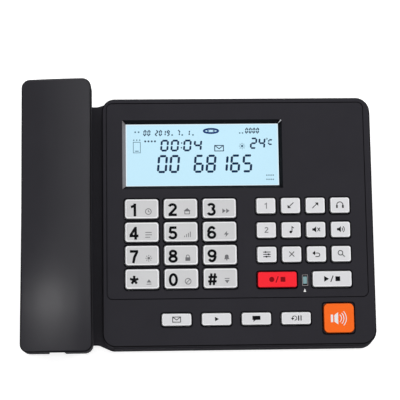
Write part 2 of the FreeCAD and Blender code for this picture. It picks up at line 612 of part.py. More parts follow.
def upper_housing():
    """Cover with the sloping top, panel recess, cradle deck and wells."""
    tubs, hollows = wells()
    seat = LOUDSPEAKER_RADIUS + SLIP
    collar = rod(LOUDSPEAKER_PLACE, seat + WELL_WALL, DECK_UNDER - LOUDSPEAKER_COLLAR, DECK_UNDER + WELD)
    collar = collar.cut(rod(LOUDSPEAKER_PLACE, seat, DECK_UNDER - LOUDSPEAKER_DEPTH, DECK_UNDER))
    bosses = [rod(place, BOARD_BOSS_RADIUS, -BOARD_DEPTH, -COVER - WELD) for place in board_boss_places()]
    solid = cover_shell()
    inside = cover_shell_inside()
    additions = [cover_lip(), panel_frame(), collar] + tubs + bosses + boss_webs() + loudspeaker_catches()
    for place in CASE_SCREW_PLACES:
        additions.append(case_boss(place, CASE_BOSS_MEET, CASE_BOSS_RADIUS).common(inside))
    solid = solid.fuse(additions)
    cutters = [panel_recess()] + hollows + grille_slots() + panel_pegs(PEG_GAP)
    pilot_top = BOARD_UNDER + BOARD_THICK + BOARD_SCREW_BITE + 2 * SLIP
    cutters += [rod(place, BOARD_SCREW_RADIUS + THREAD_GAP, -BOARD_DEPTH - 1, pilot_top)
                for place in board_boss_places()]
    screw_top = FOOT_HEIGHT + COUNTERBORE_DEPTH + CASE_SCREW_LENGTH + 2 * SLIP
    cutters += [to_face(rod(place, CASE_SCREW_RADIUS + THREAD_GAP, 0, screw_top))
                for place in CASE_SCREW_PLACES]
    for name, centre, size in key_list():
        if size in (STRIP_KEY, SPEAKER_KEY):
            cutters.append(plate_opening(centre, size, KEY_CLEAR, -FAR / 10, 1))
    plunger = (HOOK_WIDTH, HOOK_LENGTH, HOOK_CORNER)
    cutters.append(plate_opening((HANDSET_CENTRE, HOOK_PLACE), plunger, HOOK_GAP, -FAR / 10, 0))
    return solid.cut(cutters).removeSplitter()


def boss_webs():
    """Webs that tie the board's bosses to the cover's side walls."""
    webs = []
    for u, v in board_boss_places():
        wall = WALL - WELD if u < BODY_WIDTH / 2 else BODY_WIDTH - WALL_INSIDE - SLIP - LIP / 2
        webs.append(box(sorted((wall, u)), (v - RIB_THICK / 2, v + RIB_THICK / 2),
                        (-BOARD_DEPTH + BOARD_WEB_LIFT, -COVER + WELD)))
    return webs


def loudspeaker_catches():
    """Catches on the collar's inner side, just under the loudspeaker's rim."""
    width, reach, thick = CATCH_SIZE
    outer = LOUDSPEAKER_RADIUS + SLIP + WELD
    inner = LOUDSPEAKER_RADIUS + SLIP - reach
    top = DECK_UNDER - LOUDSPEAKER_RIM - SLIP
    ring = rod(LOUDSPEAKER_PLACE, outer, top - thick, top)
    ring = ring.cut(rod(LOUDSPEAKER_PLACE, inner, top - thick, top))
    catches = []
    for index in range(CATCH_COUNT):
        u, v = LOUDSPEAKER_PLACE
        strip = box((u, u + outer), (v - width / 2, v + width / 2), (top - thick, top))
        strip.rotate(Vector(u, v, 0), Vector(0, 0, 1), 90 + 360 * index / CATCH_COUNT)
        catches.append(ring.common(strip))
    return catches


def cover_shell_inside():
    """Space under the cover's skin, where its bosses may stand."""
    inside = upright(body_plan(), WALL / 2).common(slab(-FAR / 4, -COVER / 2))
    under_deck = upright(base_plan(), WALL / 2).common(slab(-FAR / 4, DECK_UNDER + DECK / 2))
    return inside.fuse(under_deck)


# ---- Lower housing -------------------------------------------------------------------------------
def lower_blank(inset, bottom):
    """Solid of the lower housing's outline, up to its stepped rim, in the world frame."""
    wire = base_plan().makeOffset2D(-inset)
    solid = prism(wire, bottom, FAR / 4)
    rim = -SKIRT - PARTING_GAP
    right = to_world(box((STEP_X + PARTING_GAP, FAR), (-FAR, FAR), (-FAR, rim)))
    left = to_world(box((-FAR, STEP_X + PARTING_GAP), (-FAR, FAR), (-FAR, rim - CRADLE_DROP)))
    return solid.common(right.fuse(left))


def bay_ranges(growth=0.0):
    """x and y ranges of the battery bay's hollow."""
    half = CELL_LENGTH / 2 + CONTACT_ROOM + growth
    back = BAY_FRONT_Y + CELL_COUNT * CELL_PITCH + 2 * SLIP + growth
    return (BAY_CENTRE_X - half, BAY_CENTRE_X + half), (BAY_FRONT_Y - growth, back)


def bay_ceiling():
    """Underside of the bay's ceiling above the desk."""
    return cell_axis_height() + CELL_RADIUS + CELL_GAP


def cell_axis_height():
    """Height of the cells' axes above the desk."""
    return FOOT_HEIGHT + RAIL_THICK + SLIP + DOOR_FLANGE + 3 * CELL_GAP + CELL_RADIUS


def door_blank(growth):
    """The battery door's T-shaped section and its cutter, open at the back."""
    (x0, x1), (y0, y1) = bay_ranges(DOOR_OVERLAP)
    tongue_low = FOOT_HEIGHT + RAIL_THICK + SLIP - growth
    top = FOOT_HEIGHT + RAIL_THICK + SLIP + DOOR_FLANGE + growth
    wide = box((x0 - growth, x1 + growth), (y0 - growth, FAR), (tongue_low, top))
    narrow = box((x0 + DOOR_TONGUE - growth, x1 - DOOR_TONGUE + growth), (y0 - growth, FAR), (0, top))
    return wide.fuse(narrow)


def feet_places():
    """Centres of the four feet, in the world frame."""
    columns = (-CRADLE_WIDTH + FOOT_INSET, BODY_WIDTH - FOOT_INSET)
    rows = (CRADLE_FRONT_SETBACK + FOOT_SETBACK, PLAN_DEPTH - CRADLE_BACK_SETBACK - FOOT_SETBACK)
    return [(x, y) for x in columns for y in rows]


def lower_housing():
    """Lower housing with floor, screw posts, battery bay, socket seats and wall openings."""
    blank = lower_blank(-RIM_LEDGE, FOOT_HEIGHT)
    blank = blank.makeChamfer(BOTTOM_CHAMFER, edges_at(blank, FOOT_HEIGHT))
    solid = blank.cut(lower_blank(WALL_INSIDE, FLOOR_TOP).fuse(rim_opening()))
    bay_x, bay_y = bay_ranges(BAY_WALL)
    ceiling = bay_ceiling()
    tub = box(bay_x, bay_y, (FLOOR_TOP - WELD, ceiling + BAY_WALL))
    door_x, door_y = bay_ranges(DOOR_OVERLAP + BAY_WALL)
    roof_low = FOOT_HEIGHT + RAIL_THICK + SLIP + DOOR_FLANGE + SLIP
    roof = box(door_x, (door_y[0], PLAN_DEPTH - WALL_INSIDE), (FLOOR_TOP - WELD, roof_low + BAY_WALL))
    posts = [rod(place, CASE_POST_RADIUS, FLOOR_TOP - WELD, CASE_BOSS_MEET) for place in CASE_SCREW_PLACES]
    sockets = (line_socket_ranges(), cord_socket_ranges(), earphone_ranges())
    seats = [socket_seat(ranges) for ranges in sockets]
    solid = solid.fuse([tub, roof, hook_seat()] + seats + posts + post_webs() + floor_ribs() + foot_rims())
    hollow_x, hollow_y = bay_ranges()
    cutters = [box(hollow_x, hollow_y, (0, ceiling)), door_blank(SLIP)]
    for place in CASE_SCREW_PLACES:
        cutters.append(rod(place, CASE_SCREW_HEAD[0] + 2 * SLIP, 0, FOOT_HEIGHT + COUNTERBORE_DEPTH))
        cutters.append(rod(place, CASE_SCREW_RADIUS + SLIP, 0, CASE_BOSS_MEET + 1))
    cutters += wall_openings()
    return solid.cut(cutters).removeSplitter()


def post_webs():
    """Crossed webs at the foot of each screw post, inside the walls."""
    past, drop = POST_WEB
    reach = CASE_POST_RADIUS + past
    inside = prism(base_plan().makeOffset2D(-WALL_INSIDE + WELD), FLOOR_TOP - WELD, CASE_BOSS_MEET - drop)
    webs = []
    for x, y in CASE_SCREW_PLACES:
        for half_x, half_y in ((reach, RIB_THICK / 2), (RIB_THICK / 2, reach)):
            web = box((x - half_x, x + half_x), (y - half_y, y + half_y), (0, FAR))
            webs.append(web.common(inside))
    return webs


def evenly_spaced(low, high):
    """Places between two ends, no further apart than the ribs may be."""
    spaces = max(1, math.ceil((high - low) / RIB_SPACING))
    return [low + (high - low) * index / spaces for index in range(spaces + 1)]


def floor_ribs():
    """Low lattice on the floor under the board, in front of the battery bay."""
    left, right = STEP_X + RIB_MARGIN, BODY_WIDTH - WALL_INSIDE
    front, back = WALL_INSIDE, BAY_FRONT_Y - BAY_WALL - DOOR_OVERLAP - RIB_MARGIN
    half = RIB_THICK / 2
    levels = (FLOOR_TOP - WELD, FLOOR_TOP + RIB_HEIGHT)
    inside = prism(base_plan().makeOffset2D(-WALL_INSIDE + WELD), *levels)
    ribs = [box((x - half, x + half), (front, back + half), levels) for x in evenly_spaced(left, right)[:-1]]
    ribs += [box((left - half, right), (y - half, y + half), levels) for y in evenly_spaced(front, back)[1:]]
    return [rib.common(inside) for rib in ribs]


def foot_rims():
    """Rims under the floor, round the rubber feet."""
    width, height = FOOT_RIM
    inner = FOOT_RADIUS + SLIP
    rims = []
    for place in feet_places():
        ring = rod(place, inner + width, FOOT_HEIGHT - height, FOOT_HEIGHT + WELD)
        rims.append(ring.cut(rod(place, inner, 0, FOOT_HEIGHT)))
    return rims


def rim_opening():
    """Clears the step in the rim, so that the cover's step drops in from above."""
    low = to_world(box((-FAR, STEP_X + PARTING_GAP), (-FAR, FAR),
                       (-SKIRT - PARTING_GAP - CRADLE_DROP, FAR)))
    return low.common(prism(base_plan().makeOffset2D(-WALL_INSIDE), FLOOR_TOP, FAR / 4))


def hook_seat():
    """Pedestal under the hook switch, cut off parallel to the face."""
    low = hook_switch_levels()[0]
    size = (HOOK_SWITCH[0], HOOK_SWITCH[1])
    pedestal = block((HANDSET_CENTRE, HOOK_PLACE), size, 1.0, -FAR / 10, low)
    above_floor = box((-FAR, FAR), (-FAR, FAR), (FLOOR_TOP - WELD, FAR))
    return to_world(pedestal).common(above_floor)


def line_socket_ranges():
    """Body of the line socket at the back wall."""
    half = MODULAR_BODY / 2
    back = PLAN_DEPTH - WALL_INSIDE
    return ((LINE_SOCKET_X - half, LINE_SOCKET_X + half), (back - MODULAR_DEPTH, back),
            (SOCKET_BOTTOM, SOCKET_BOTTOM + MODULAR_BODY))


def cord_socket_ranges():
    """Body of the handset-cord socket at the left wall."""
    half = MODULAR_BODY / 2
    left = -CRADLE_WIDTH + WALL_INSIDE
    return ((left, left + MODULAR_DEPTH), (CORD_SOCKET_Y - half, CORD_SOCKET_Y + half),
            (SOCKET_BOTTOM, SOCKET_BOTTOM + MODULAR_BODY))


def earphone_ranges():
    """Body of the earphone socket at the back wall."""
    half = EARPHONE_BODY / 2
    back = PLAN_DEPTH - WALL_INSIDE
    return ((EARPHONE_X - half, EARPHONE_X + half), (back - MODULAR_DEPTH, back),
            (SOCKET_BOTTOM, SOCKET_BOTTOM + EARPHONE_BODY))


def socket_seat(ranges):
    """Pedestal that carries a socket body on the floor."""
    return box(ranges[0], ranges[1], (FLOOR_TOP - WELD, ranges[2][0]))


def opening_height_range():
    """Height range of a cord socket's opening."""
    middle = SOCKET_BOTTOM + MODULAR_BODY / 2
    return (middle - MODULAR_HEIGHT / 2, middle + MODULAR_HEIGHT / 2)


def wall_openings():
    """Openings in the lower housing's walls for the sockets and the microphone."""
    heights = opening_height_range()
    grown = (heights[0] - OPENING_MARGIN, heights[1] + OPENING_MARGIN)
    half_line = LINE_OPENING / 2 + OPENING_MARGIN
    half_cord = CORD_OPENING / 2 + OPENING_MARGIN
    back = PLAN_DEPTH - WALL - 1
    left = -CRADLE_WIDTH + WALL + 1
    earphone = Part.makeCylinder(EARPHONE_NOSE + SLIP, FAR,
                                 Vector(EARPHONE_X, back, SOCKET_BOTTOM + EARPHONE_BODY / 2), Vector(0, 1, 0))
    microphone = Part.makeCylinder(MICROPHONE_HOLE, FAR, microphone_place(), Vector(0, -1, 0))
    return [
        box((LINE_SOCKET_X - half_line, LINE_SOCKET_X + half_line), (back, FAR), grown),
        box((-FAR, left), (CORD_SOCKET_Y - half_cord, CORD_SOCKET_Y + half_cord), grown),
        earphone,
        microphone,
    ]


# ---- Panel, display, board and mat ---------------------------------------------------------------
def display_opening(level_top):
    """Cutter for the display's opening, narrowing to the lit area at the bottom of the bevel."""
    slope = BEVEL / BEVEL_DEPTH
    wires = []
    for level in (-BEVEL_DEPTH - 0.01, level_top):
        growth = slope * (level + BEVEL_DEPTH)
        size = (DISPLAY_WIDTH + 2 * growth, DISPLAY_HEIGHT + 2 * growth)
        wires.append(outline(rectangle(DISPLAY_CENTRE, size, 0.0), level))
    return Part.makeLoft(wires, True, True)


def face_panel():
    """Inset face panel with the bevelled display opening and the key openings."""
    u0, u1, v0, v1 = PANEL
    centre = ((u0 + u1) / 2, (v0 + v1) / 2)
    panel = block(centre, (u1 - u0 - 2 * SEAM, v1 - v0 - 2 * SEAM), PANEL_CORNER - SEAM, -COVER, 0)
    collar_size = (DISPLAY_WIDTH + 2 * COLLAR, DISPLAY_HEIGHT + 2 * COLLAR)
    collar = block(DISPLAY_CENTRE, collar_size, PLATE_CORNER, -BEVEL_DEPTH, -COVER + WELD)
    cutters = [display_opening(1.0), plate_opening(INDICATOR_CENTRE, INDICATOR, 0, -COVER - 1, 1)]
    for name, middle, size in key_list():
        if size not in (STRIP_KEY, SPEAKER_KEY):
            cutters.append(plate_opening(middle, size, KEY_CLEAR, -COVER - 1, 1))
    return panel.fuse([collar] + panel_pegs(0.0)).cut(cutters).removeSplitter()


def panel_pegs(growth):
    """Pegs under the panel's edges, between the board's bosses, or with growth their holes."""
    u0, u1, v0, v1 = PANEL
    front, middle, back = BOARD_BOSS_ROWS
    between = ((front + middle) / 2, (middle + back) / 2)
    places = [(u, v) for u in (u0 + PEG_INSET, u1 - PEG_INSET) for v in between]
    quarters = [u0 + (u1 - u0) * share for share in (0.25, 0.75)]
    places += [(u, v) for u in quarters for v in (v0 + PEG_INSET, v1 - PEG_INSET)]
    low = -COVER - LEDGE_THICK - PEG_END
    return [rod(place, PEG_RADIUS + growth, low - growth, -COVER + WELD) for place in places]


def display_plate(margin, low, high):
    """One plate of the display stack."""
    size = (DISPLAY_WIDTH + 2 * margin, DISPLAY_HEIGHT + 2 * margin)
    return block(DISPLAY_CENTRE, size, PLATE_CORNER, low, high)


def indicator_window():
    """Light pipe of the indicator, with a flange under the panel."""
    width, height, corner = INDICATOR
    pipe = block(INDICATOR_CENTRE, (width - 2 * THREAD_GAP, height - 2 * THREAD_GAP), corner,
                 lamp_top() + SLIP, INDICATOR_RISE)
    flange = block(INDICATOR_CENTRE, (width + 2 * INDICATOR_FLANGE, height + 2 * INDICATOR_FLANGE),
                   corner + INDICATOR_FLANGE, -COVER - KEY_FLANGE_THICK, -COVER)
    return joined(pipe, [flange])


def lamp_top():
    """Top of the indicator lamp on the board."""
    return -BOARD_DEPTH + LAMP_HEIGHT


def board_blank(low, high):
    """Board-shaped block between two levels."""
    u0, u1 = BOARD_MARGIN, BODY_WIDTH - BOARD_MARGIN
    centre = ((u0 + u1) / 2, (BOARD_FRONT + BOARD_BACK) / 2)
    return block(centre, (u1 - u0, BOARD_BACK - BOARD_FRONT), BOARD_CORNER, low, high)


def circuit_board():
    """Main board with its chips, relay and indicator lamp soldered on."""
    board = board_blank(BOARD_UNDER, -BOARD_DEPTH)
    lamp = rod(INDICATOR_CENTRE, LAMP_RADIUS, -BOARD_DEPTH - WELD, lamp_top())
    top = BOARD_UNDER + WELD
    soldered = [block((BOARD_MARGIN + u, BOARD_FRONT + v), size, 0.5, BOARD_UNDER - height, top)
                for (u, v), size, height in BOARD_PARTS]
    board = board.fuse([lamp] + soldered)
    cutters = [rod(place, BOARD_SCREW_RADIUS + SLIP, BOARD_UNDER - 1, 0) for place in board_boss_places()]
    for place in CASE_SCREW_PLACES:
        cutters.append(to_face(rod(place, CASE_BOSS_RADIUS + BOARD_NOTCH_GAP, 0, FAR / 4)))
    return board.cut(cutters).removeSplitter()


def key_mat():
    """Silicone mat on the board, with a dome under each key, modelled at the domes' pressed height."""
    places = [centre for name, centre, size in key_list()]
    u0 = min(u for u, v in places) - MAT_MARGIN
    u1 = max(u for u, v in places) + MAT_MARGIN
    v0 = min(v for u, v in places) - MAT_MARGIN
    v1 = max(v for u, v in places) + MAT_MARGIN
    centre = ((u0 + u1) / 2, (v0 + v1) / 2)
    sheet = block(centre, (u1 - u0, v1 - v0), MAT_MARGIN, -BOARD_DEPTH, MAT_TOP)
    domes = []
    for u, v in places:
        base = Vector(u, v, MAT_TOP - WELD)
        domes.append(Part.makeCone(DOME_RADIUS, DOME_RADIUS * DOME_TAPER, DOME_TOP - MAT_TOP + WELD, base))
    hole = plate_opening(INDICATOR_CENTRE, INDICATOR, INDICATOR_FLANGE, -FAR / 10, 0)
    return sheet.fuse(domes).cut(hole).removeSplitter()


# ---- Loudspeaker, microphone, hook switch and sockets --------------------------------------------
def revolved(points, place, top):
    """Turn a (radius, level) profile about an upright axis; levels count from top."""
    vertices = [Vector(place[0] + radius, place[1], top + level) for radius, level in points]
    face = Part.Face(Part.makePolygon(vertices + [vertices[0]]))
    return face.revolve(Vector(place[0], place[1], top), Vector(0, 0, 1), 360)


def loudspeaker():
    """Round loudspeaker under the deck's grille: rim, basket, cone and magnet."""
    rim = LOUDSPEAKER_RADIUS
    magnet = MAGNET_RADIUS
    depth = -LOUDSPEAKER_DEPTH
    hub, hub_depth = LOUDSPEAKER_HUB
    basket = depth + BASKET_HEIGHT
    profile = [(0, -hub_depth), (hub, -hub_depth), (rim - 3, -0.8), (rim - 2.4, 0), (rim, 0),
               (rim, -LOUDSPEAKER_RIM), (rim - 2, -LOUDSPEAKER_RIM), (magnet + BASKET_FLARE, basket),
               (magnet, basket),
               (magnet, depth), (0, depth)]
    return revolved(profile, LOUDSPEAKER_PLACE, DECK_UNDER)


def microphone_place():
    """Front face of the hands-free microphone in the world frame."""
    level = -BOARD_DEPTH + MICROPHONE_RADIUS
    distance = BOARD_FRONT + 1.0
    return Vector(MICROPHONE_PLACE, distance * COS - level * SIN, FRONT_HEIGHT + distance * SIN + level * COS)


def hands_free_microphone():
    """Electret capsule lying on the front of the board, facing the front wall."""
    start = Vector(MICROPHONE_PLACE, BOARD_FRONT + 1.0, -BOARD_DEPTH + MICROPHONE_RADIUS)
    return Part.makeCylinder(MICROPHONE_RADIUS, MICROPHONE_LENGTH, start, Vector(0, 1, 0))


def hook_levels():
    """Top of the plunger, top and underside of its flange, with the handset down."""
    flange_top = DECK_UNDER - HOOK_TRAVEL - SLIP
    return -CRADLE_DROP + HOOK_STAND, flange_top, flange_top - HOOK_FLANGE


def hook_plunger():
    """Plunger that the handset holds down, kept in by its flange."""
    top, flange_top, flange_low = hook_levels()
    place = (HANDSET_CENTRE, HOOK_PLACE)
    stem = block(place, (HOOK_WIDTH, HOOK_LENGTH), HOOK_CORNER, flange_low, top)
    stem = stem.makeFillet(HOOK_ROUND, edges_at(stem, top))
    flange_size = (HOOK_WIDTH + 2 * HOOK_FLANGE_REACH, HOOK_LENGTH + 2 * HOOK_FLANGE_REACH)
    flange = block(place, flange_size, HOOK_CORNER, flange_low, flange_top)
    return joined(stem, [flange])


def hook_switch_levels():
    """Underside and top of the hook switch."""
    top = hook_levels()[2] - HOOK_GAP
    return top - HOOK_SWITCH[2], top


def hook_switch():
    """Snap switch under the plunger, with its lever."""
    low, top = hook_switch_levels()
    body = block((HANDSET_CENTRE, HOOK_PLACE), HOOK_SWITCH[:2], 0.5, low, top - HOOK_LEVER_RISE)
    length, width, thick = HOOK_LEVER
    start = HANDSET_CENTRE - length / 2
    across = (HOOK_PLACE - width / 2, HOOK_PLACE + width / 2)
    lever = box((start, start + length), across, (top - thick, top))
    post = box((start, start + 2 * thick), across, (top - HOOK_LEVER_RISE - WELD, top))
    return joined(body, [lever, post])


def modular_socket(ranges, opening, mouth):
    """Cord socket body with its blind opening; mouth says which side it opens to."""
    heights = opening_height_range()
    widths = (opening, LATCH_SLOT[0])
    levels = (heights, (heights[0] - LATCH_SLOT[1], heights[0]))
    middle = sum(ranges[0 if mouth == "back" else 1]) / 2
    cutters = []
    for width, level in zip(widths, levels):
        across = (middle - width / 2, middle + width / 2)
        if mouth == "back":
            cutters.append(box(across, (ranges[1][1] - OPENING_DEPTH, FAR), level))
        else:
            cutters.append(box((-FAR, ranges[0][0] + OPENING_DEPTH), across, level))
    return box(*ranges).cut(cutters)


def earphone_jack():
    """Round earphone socket with a nose that stands in the wall."""
    ranges = earphone_ranges()
    height = sum(ranges[2]) / 2
    start = Vector(EARPHONE_X, ranges[1][1] - WELD, height)
    nose = Part.makeCylinder(EARPHONE_NOSE, WALL + WELD, start, Vector(0, 1, 0))
    bore_end = Vector(EARPHONE_X, ranges[1][0] + WALL, height)
    bore = Part.makeCylinder(EARPHONE_RADIUS, FAR, bore_end, Vector(0, 1, 0))
    return box(*ranges).fuse(nose).cut(bore).removeSplitter()


# ---- Battery bay's contents ----------------------------------------------------------------------
def cell_rows():
    """y of each cell's axis."""
    first = BAY_FRONT_Y + SLIP + CELL_PITCH / 2
    return [first + index * CELL_PITCH for index in range(CELL_COUNT)]


def battery_cells():
    """Three round cells lying side by side, each with its raised end."""
    cells = []
    height = cell_axis_height()
    button_radius, button_height = CELL_BUTTON
    for index, y in enumerate(cell_rows()):
        way = 1 if index % 2 else -1
        along = Vector(way, 0, 0)
        start = Vector(BAY_CENTRE_X - way * CELL_LENGTH / 2, y, height)
        body = Part.makeCylinder(CELL_RADIUS, CELL_LENGTH - button_height, start, along)
        button = Part.makeCylinder(button_radius, CELL_LENGTH, start, along)
        cells.append(joined(body, [button]))
    return Part.makeCompound(cells)


def battery_contacts():
    """Contact plates on the bay's end walls, each with a conical spring towards the cell."""
    contacts = []
    height = cell_axis_height()
    half = CELL_LENGTH / 2 + CONTACT_ROOM
    for y in cell_rows():
        for way in (-1, 1):
            wall = BAY_CENTRE_X + way * half
            inner = wall - way * CONTACT_PLATE
            plate = box(sorted((wall, inner)), (y - CONTACT_SIZE / 2, y + CONTACT_SIZE / 2),
                        (height - CONTACT_SIZE / 2, height + CONTACT_SIZE / 2))
            cone = Part.makeCone(*CONTACT_SPRING, CONTACT_ROOM - CONTACT_PLATE, Vector(inner, y, height),
                                 Vector(-way, 0, 0))
            contacts.append(joined(plate, [cone]))
    return Part.makeCompound(contacts)


def battery_door():
    """Door that slides out of the back edge on its tongues, with finger ridges."""
    door = lower_blank(-RIM_LEDGE, FOOT_HEIGHT)
    door = door.makeChamfer(BOTTOM_CHAMFER, edges_at(door, FOOT_HEIGHT))
    door = door.common(door_blank(0.0))
    length, width, depth = RIDGE_GROOVE
    across = (BAY_CENTRE_X - length / 2, BAY_CENTRE_X + length / 2)
    grooves = []
    for index in range(DOOR_RIDGES):
        y = PLAN_DEPTH - RIDGE_START - index * RIDGE_PITCH
        grooves.append(box(across, (y - width / 2, y + width / 2), (0, FOOT_HEIGHT + depth)))
    return door.cut(grooves)


# ---- Handset -------------------------------------------------------------------------------------
def handset_wire(level, inset):
    """The handset's outline at one level; its front end leans out below the seam."""
    lean = HANDSET_END_DRAFT * (HANDSET_TOP - level) / (HANDSET_TOP - HANDSET_UNDER)
    front = HANDSET_FRONT - lean + inset
    back = HANDSET_BACK - inset
    corner = HANDSET_CORNER - inset
    middle = (HANDSET_FRONT + HANDSET_BACK) / 2
    halves = [half - inset for half in (HANDSET_HALF_FRONT, HANDSET_HALF_WAIST, HANDSET_HALF_BACK)]
    sides = []
    for side in (-1, 1):
        sides.append([(HANDSET_CENTRE + side * halves[0], front, corner),
                      (HANDSET_CENTRE + side * halves[1], middle, 10 * FAR),
                      (HANDSET_CENTRE + side * halves[2], back + side * HANDSET_SKEW, corner)])
    left, right = sides
    return outline(right + left[::-1], level)


def handset_block(low, high, inset=0.0):
    """Solid of the handset's outline between two levels."""
    return Part.makeLoft([handset_wire(low, inset), handset_wire(high, inset)], True, True)


def crowned_block():
    """Block under the outer shell's doubly curved top."""
    half = HANDSET_HALF_FRONT + 5
    drop = CROWN_ACROSS - math.sqrt(CROWN_ACROSS ** 2 - half ** 2)
    middle = (HANDSET_FRONT + HANDSET_BACK) / 2
    left, right = HANDSET_CENTRE - half, HANDSET_CENTRE + half
    low = HANDSET_SEAM - 5
    arc = Part.Arc(Vector(left, middle, HANDSET_TOP - drop), Vector(HANDSET_CENTRE, middle, HANDSET_TOP),
                   Vector(right, middle, HANDSET_TOP - drop)).toShape()
    sides = Part.makePolygon([Vector(right, middle, HANDSET_TOP - drop), Vector(right, middle, low),
                              Vector(left, middle, low), Vector(left, middle, HANDSET_TOP - drop)])
    face = Part.Face(Part.Wire([arc] + sides.Edges))
    axis = Vector(0, middle, HANDSET_TOP - CROWN_ALONG)
    swing = math.degrees((HANDSET_BACK - HANDSET_FRONT) / CROWN_ALONG)
    face.rotate(axis, Vector(1, 0, 0), -swing)
    return face.revolve(axis, Vector(1, 0, 0), 2 * swing)


def handset_outer_shell():
    """Smooth outer shell with the crowned top."""
    shell = handset_block(HANDSET_SEAM, HANDSET_TOP + 1).common(crowned_block())
    rims = [edge for edge in shell.Edges if edge.BoundBox.ZMin > HANDSET_TOP - 5]
    shell = shell.makeFillet(HANDSET_ROUND, rims)
    ceiling = HANDSET_TOP - SHELL_TOP
    hollow = handset_block(HANDSET_SEAM - 1, ceiling, HANDSET_WALL)
    places = [(HANDSET_CENTRE, v) for v in HANDSET_SCREW_PLACES]
    posts = [rod(place, HANDSET_POST_RADIUS, HANDSET_POST_MEET, ceiling + WELD) for place in places]
    pilot = BOARD_SCREW_RADIUS + THREAD_GAP
    pilot_top = HANDSET_UNDER + HANDSET_SCREW_SEAT + HANDSET_SCREW_LENGTH + SLIP
    holes = [rod(place, pilot, HANDSET_POST_MEET - 1, pilot_top) for place in places]
    return shell.cut(hollow).fuse(posts).cut(holes + [jack_slot()]).removeSplitter()


def jack_slot():
    """Slot in the end wall in front of the cord socket."""
    start = HANDSET_FRONT + JACK_RECESS
    return box((HANDSET_CENTRE - JACK_SLOT / 2, HANDSET_CENTRE + JACK_SLOT / 2), (-FAR, start),
               (HANDSET_UNDER - 1, HANDSET_TOP - JACK_SLOT_TOP))


def round_hole_pattern(place, rings, radius, low, high):
    """Centre hole with rings of holes: rings holds (ring radius, count)."""
    holes = [rod(place, radius, low, high)]
    for ring, count in rings:
        for index in range(count):
            angle = 2 * math.pi * index / count
            centre = (place[0] + ring * math.cos(angle), place[1] + ring * math.sin(angle))
            holes.append(rod(centre, radius, low, high))
    return holes


def handset_inner_shell():
    """Inner shell with the grip, the ear and mouth cups and their sound holes."""
    top = HANDSET_SEAM - HANDSET_SEAM_GAP
    shell = handset_block(HANDSET_UNDER, top)
    shell = shell.makeFillet(HANDSET_UNDER_ROUND, edges_at(shell, HANDSET_UNDER))
    ear = cup(EAR_PLACE, EAR_LENGTH, -EAR_DEPTH, HANDSET_UNDER + 1, 0.0)
    mouth = cup(MOUTH_PLACE, MOUTH_LENGTH, -MOUTH_DEPTH, HANDSET_UNDER + 1, 0.0)
    ear = ear.makeFillet(CUP_ROUND, edges_at(ear, -EAR_DEPTH))
    mouth = mouth.makeFillet(CUP_ROUND, edges_at(mouth, -MOUTH_DEPTH))
    floor = HANDSET_UNDER + HANDSET_WALL
    hollow = handset_block(floor, top + 1, HANDSET_WALL + HANDSET_UNDER_ROUND / 2)
    ear_hollow = cup(EAR_PLACE, EAR_LENGTH, -EAR_DEPTH + HANDSET_WALL, floor + 1, -HANDSET_WALL)
    mouth_hollow = cup(MOUTH_PLACE, MOUTH_LENGTH, -MOUTH_DEPTH + HANDSET_WALL, floor + 1, -HANDSET_WALL)
    shell = shell.fuse([ear, mouth]).cut([hollow, ear_hollow, mouth_hollow])
    places = [(HANDSET_CENTRE, v) for v in HANDSET_SCREW_PLACES]
    mouth_place = (HANDSET_CENTRE, MOUTH_PLACE)
    posts = [rod(place, HANDSET_POST_RADIUS + SLIP, floor - WELD, HANDSET_POST_MEET) for place in places]
    ring = rod(mouth_place, MOUTHPIECE_RADIUS + WELL_WALL, mouth_floor() - WELD, mouth_floor() + MOUTH_RING)
    ring = ring.cut(rod(mouth_place, MOUTHPIECE_RADIUS + THREAD_GAP, mouth_floor(), 0))
    shell = shell.fuse(posts + [ring, socket_shelf(), shell_tongue()])
    socket_room = [(low - THREAD_GAP, high + THREAD_GAP) for low, high in handset_socket_ranges()]
    cutters = [jack_slot(), box(*socket_room)]
    for place in places:
        seat = HANDSET_UNDER + HANDSET_SCREW_SEAT
        cutters.append(rod(place, BOARD_SCREW_HEAD[0] + SLIP, HANDSET_UNDER - 1, seat))
        cutters.append(rod(place, BOARD_SCREW_RADIUS + SLIP, HANDSET_UNDER - 1, HANDSET_TOP))
    cutters += [dish(EAR_PLACE, -EAR_DEPTH, EAR_DISH), dish(MOUTH_PLACE, -MOUTH_DEPTH, MOUTH_DISH)]
    cutters += round_hole_pattern((HANDSET_CENTRE, EAR_PLACE), EAR_HOLES, EAR_HOLE_RADIUS, -EAR_DEPTH - 1,
                                  ear_floor() + 1)
    cutters += round_hole_pattern(mouth_place, MOUTH_HOLES, MOUTH_HOLE_RADIUS, -MOUTH_DEPTH - 1,
                                  mouth_floor() + WELD)
    return shell.cut(cutters).removeSplitter()


def shell_tongue():
    """Tongue on the inner shell's rim that stands inside the outer shell's wall."""
    low = HANDSET_SEAM - HANDSET_SEAM_GAP - WELD
    high = low + WELD + TONGUE_HEIGHT
    outer = handset_block(low, high, HANDSET_WALL + SLIP)
    return outer.cut(handset_block(low - 1, high + 1, HANDSET_WALL + HANDSET_UNDER_ROUND / 2))


def dish(place, level, size):
    """Ball that hollows a cup's face round its sound holes."""
    radius, depth = size
    ball = (radius ** 2 + depth ** 2) / (2 * depth)
    return Part.makeSphere(ball, Vector(HANDSET_CENTRE, place, level + depth - ball))


def mouth_floor():
    """Inner face of the mouth cup."""
    return -MOUTH_DEPTH + HANDSET_WALL


def ear_floor():
    """Inner face of the ear cup."""
    return -EAR_DEPTH + HANDSET_WALL


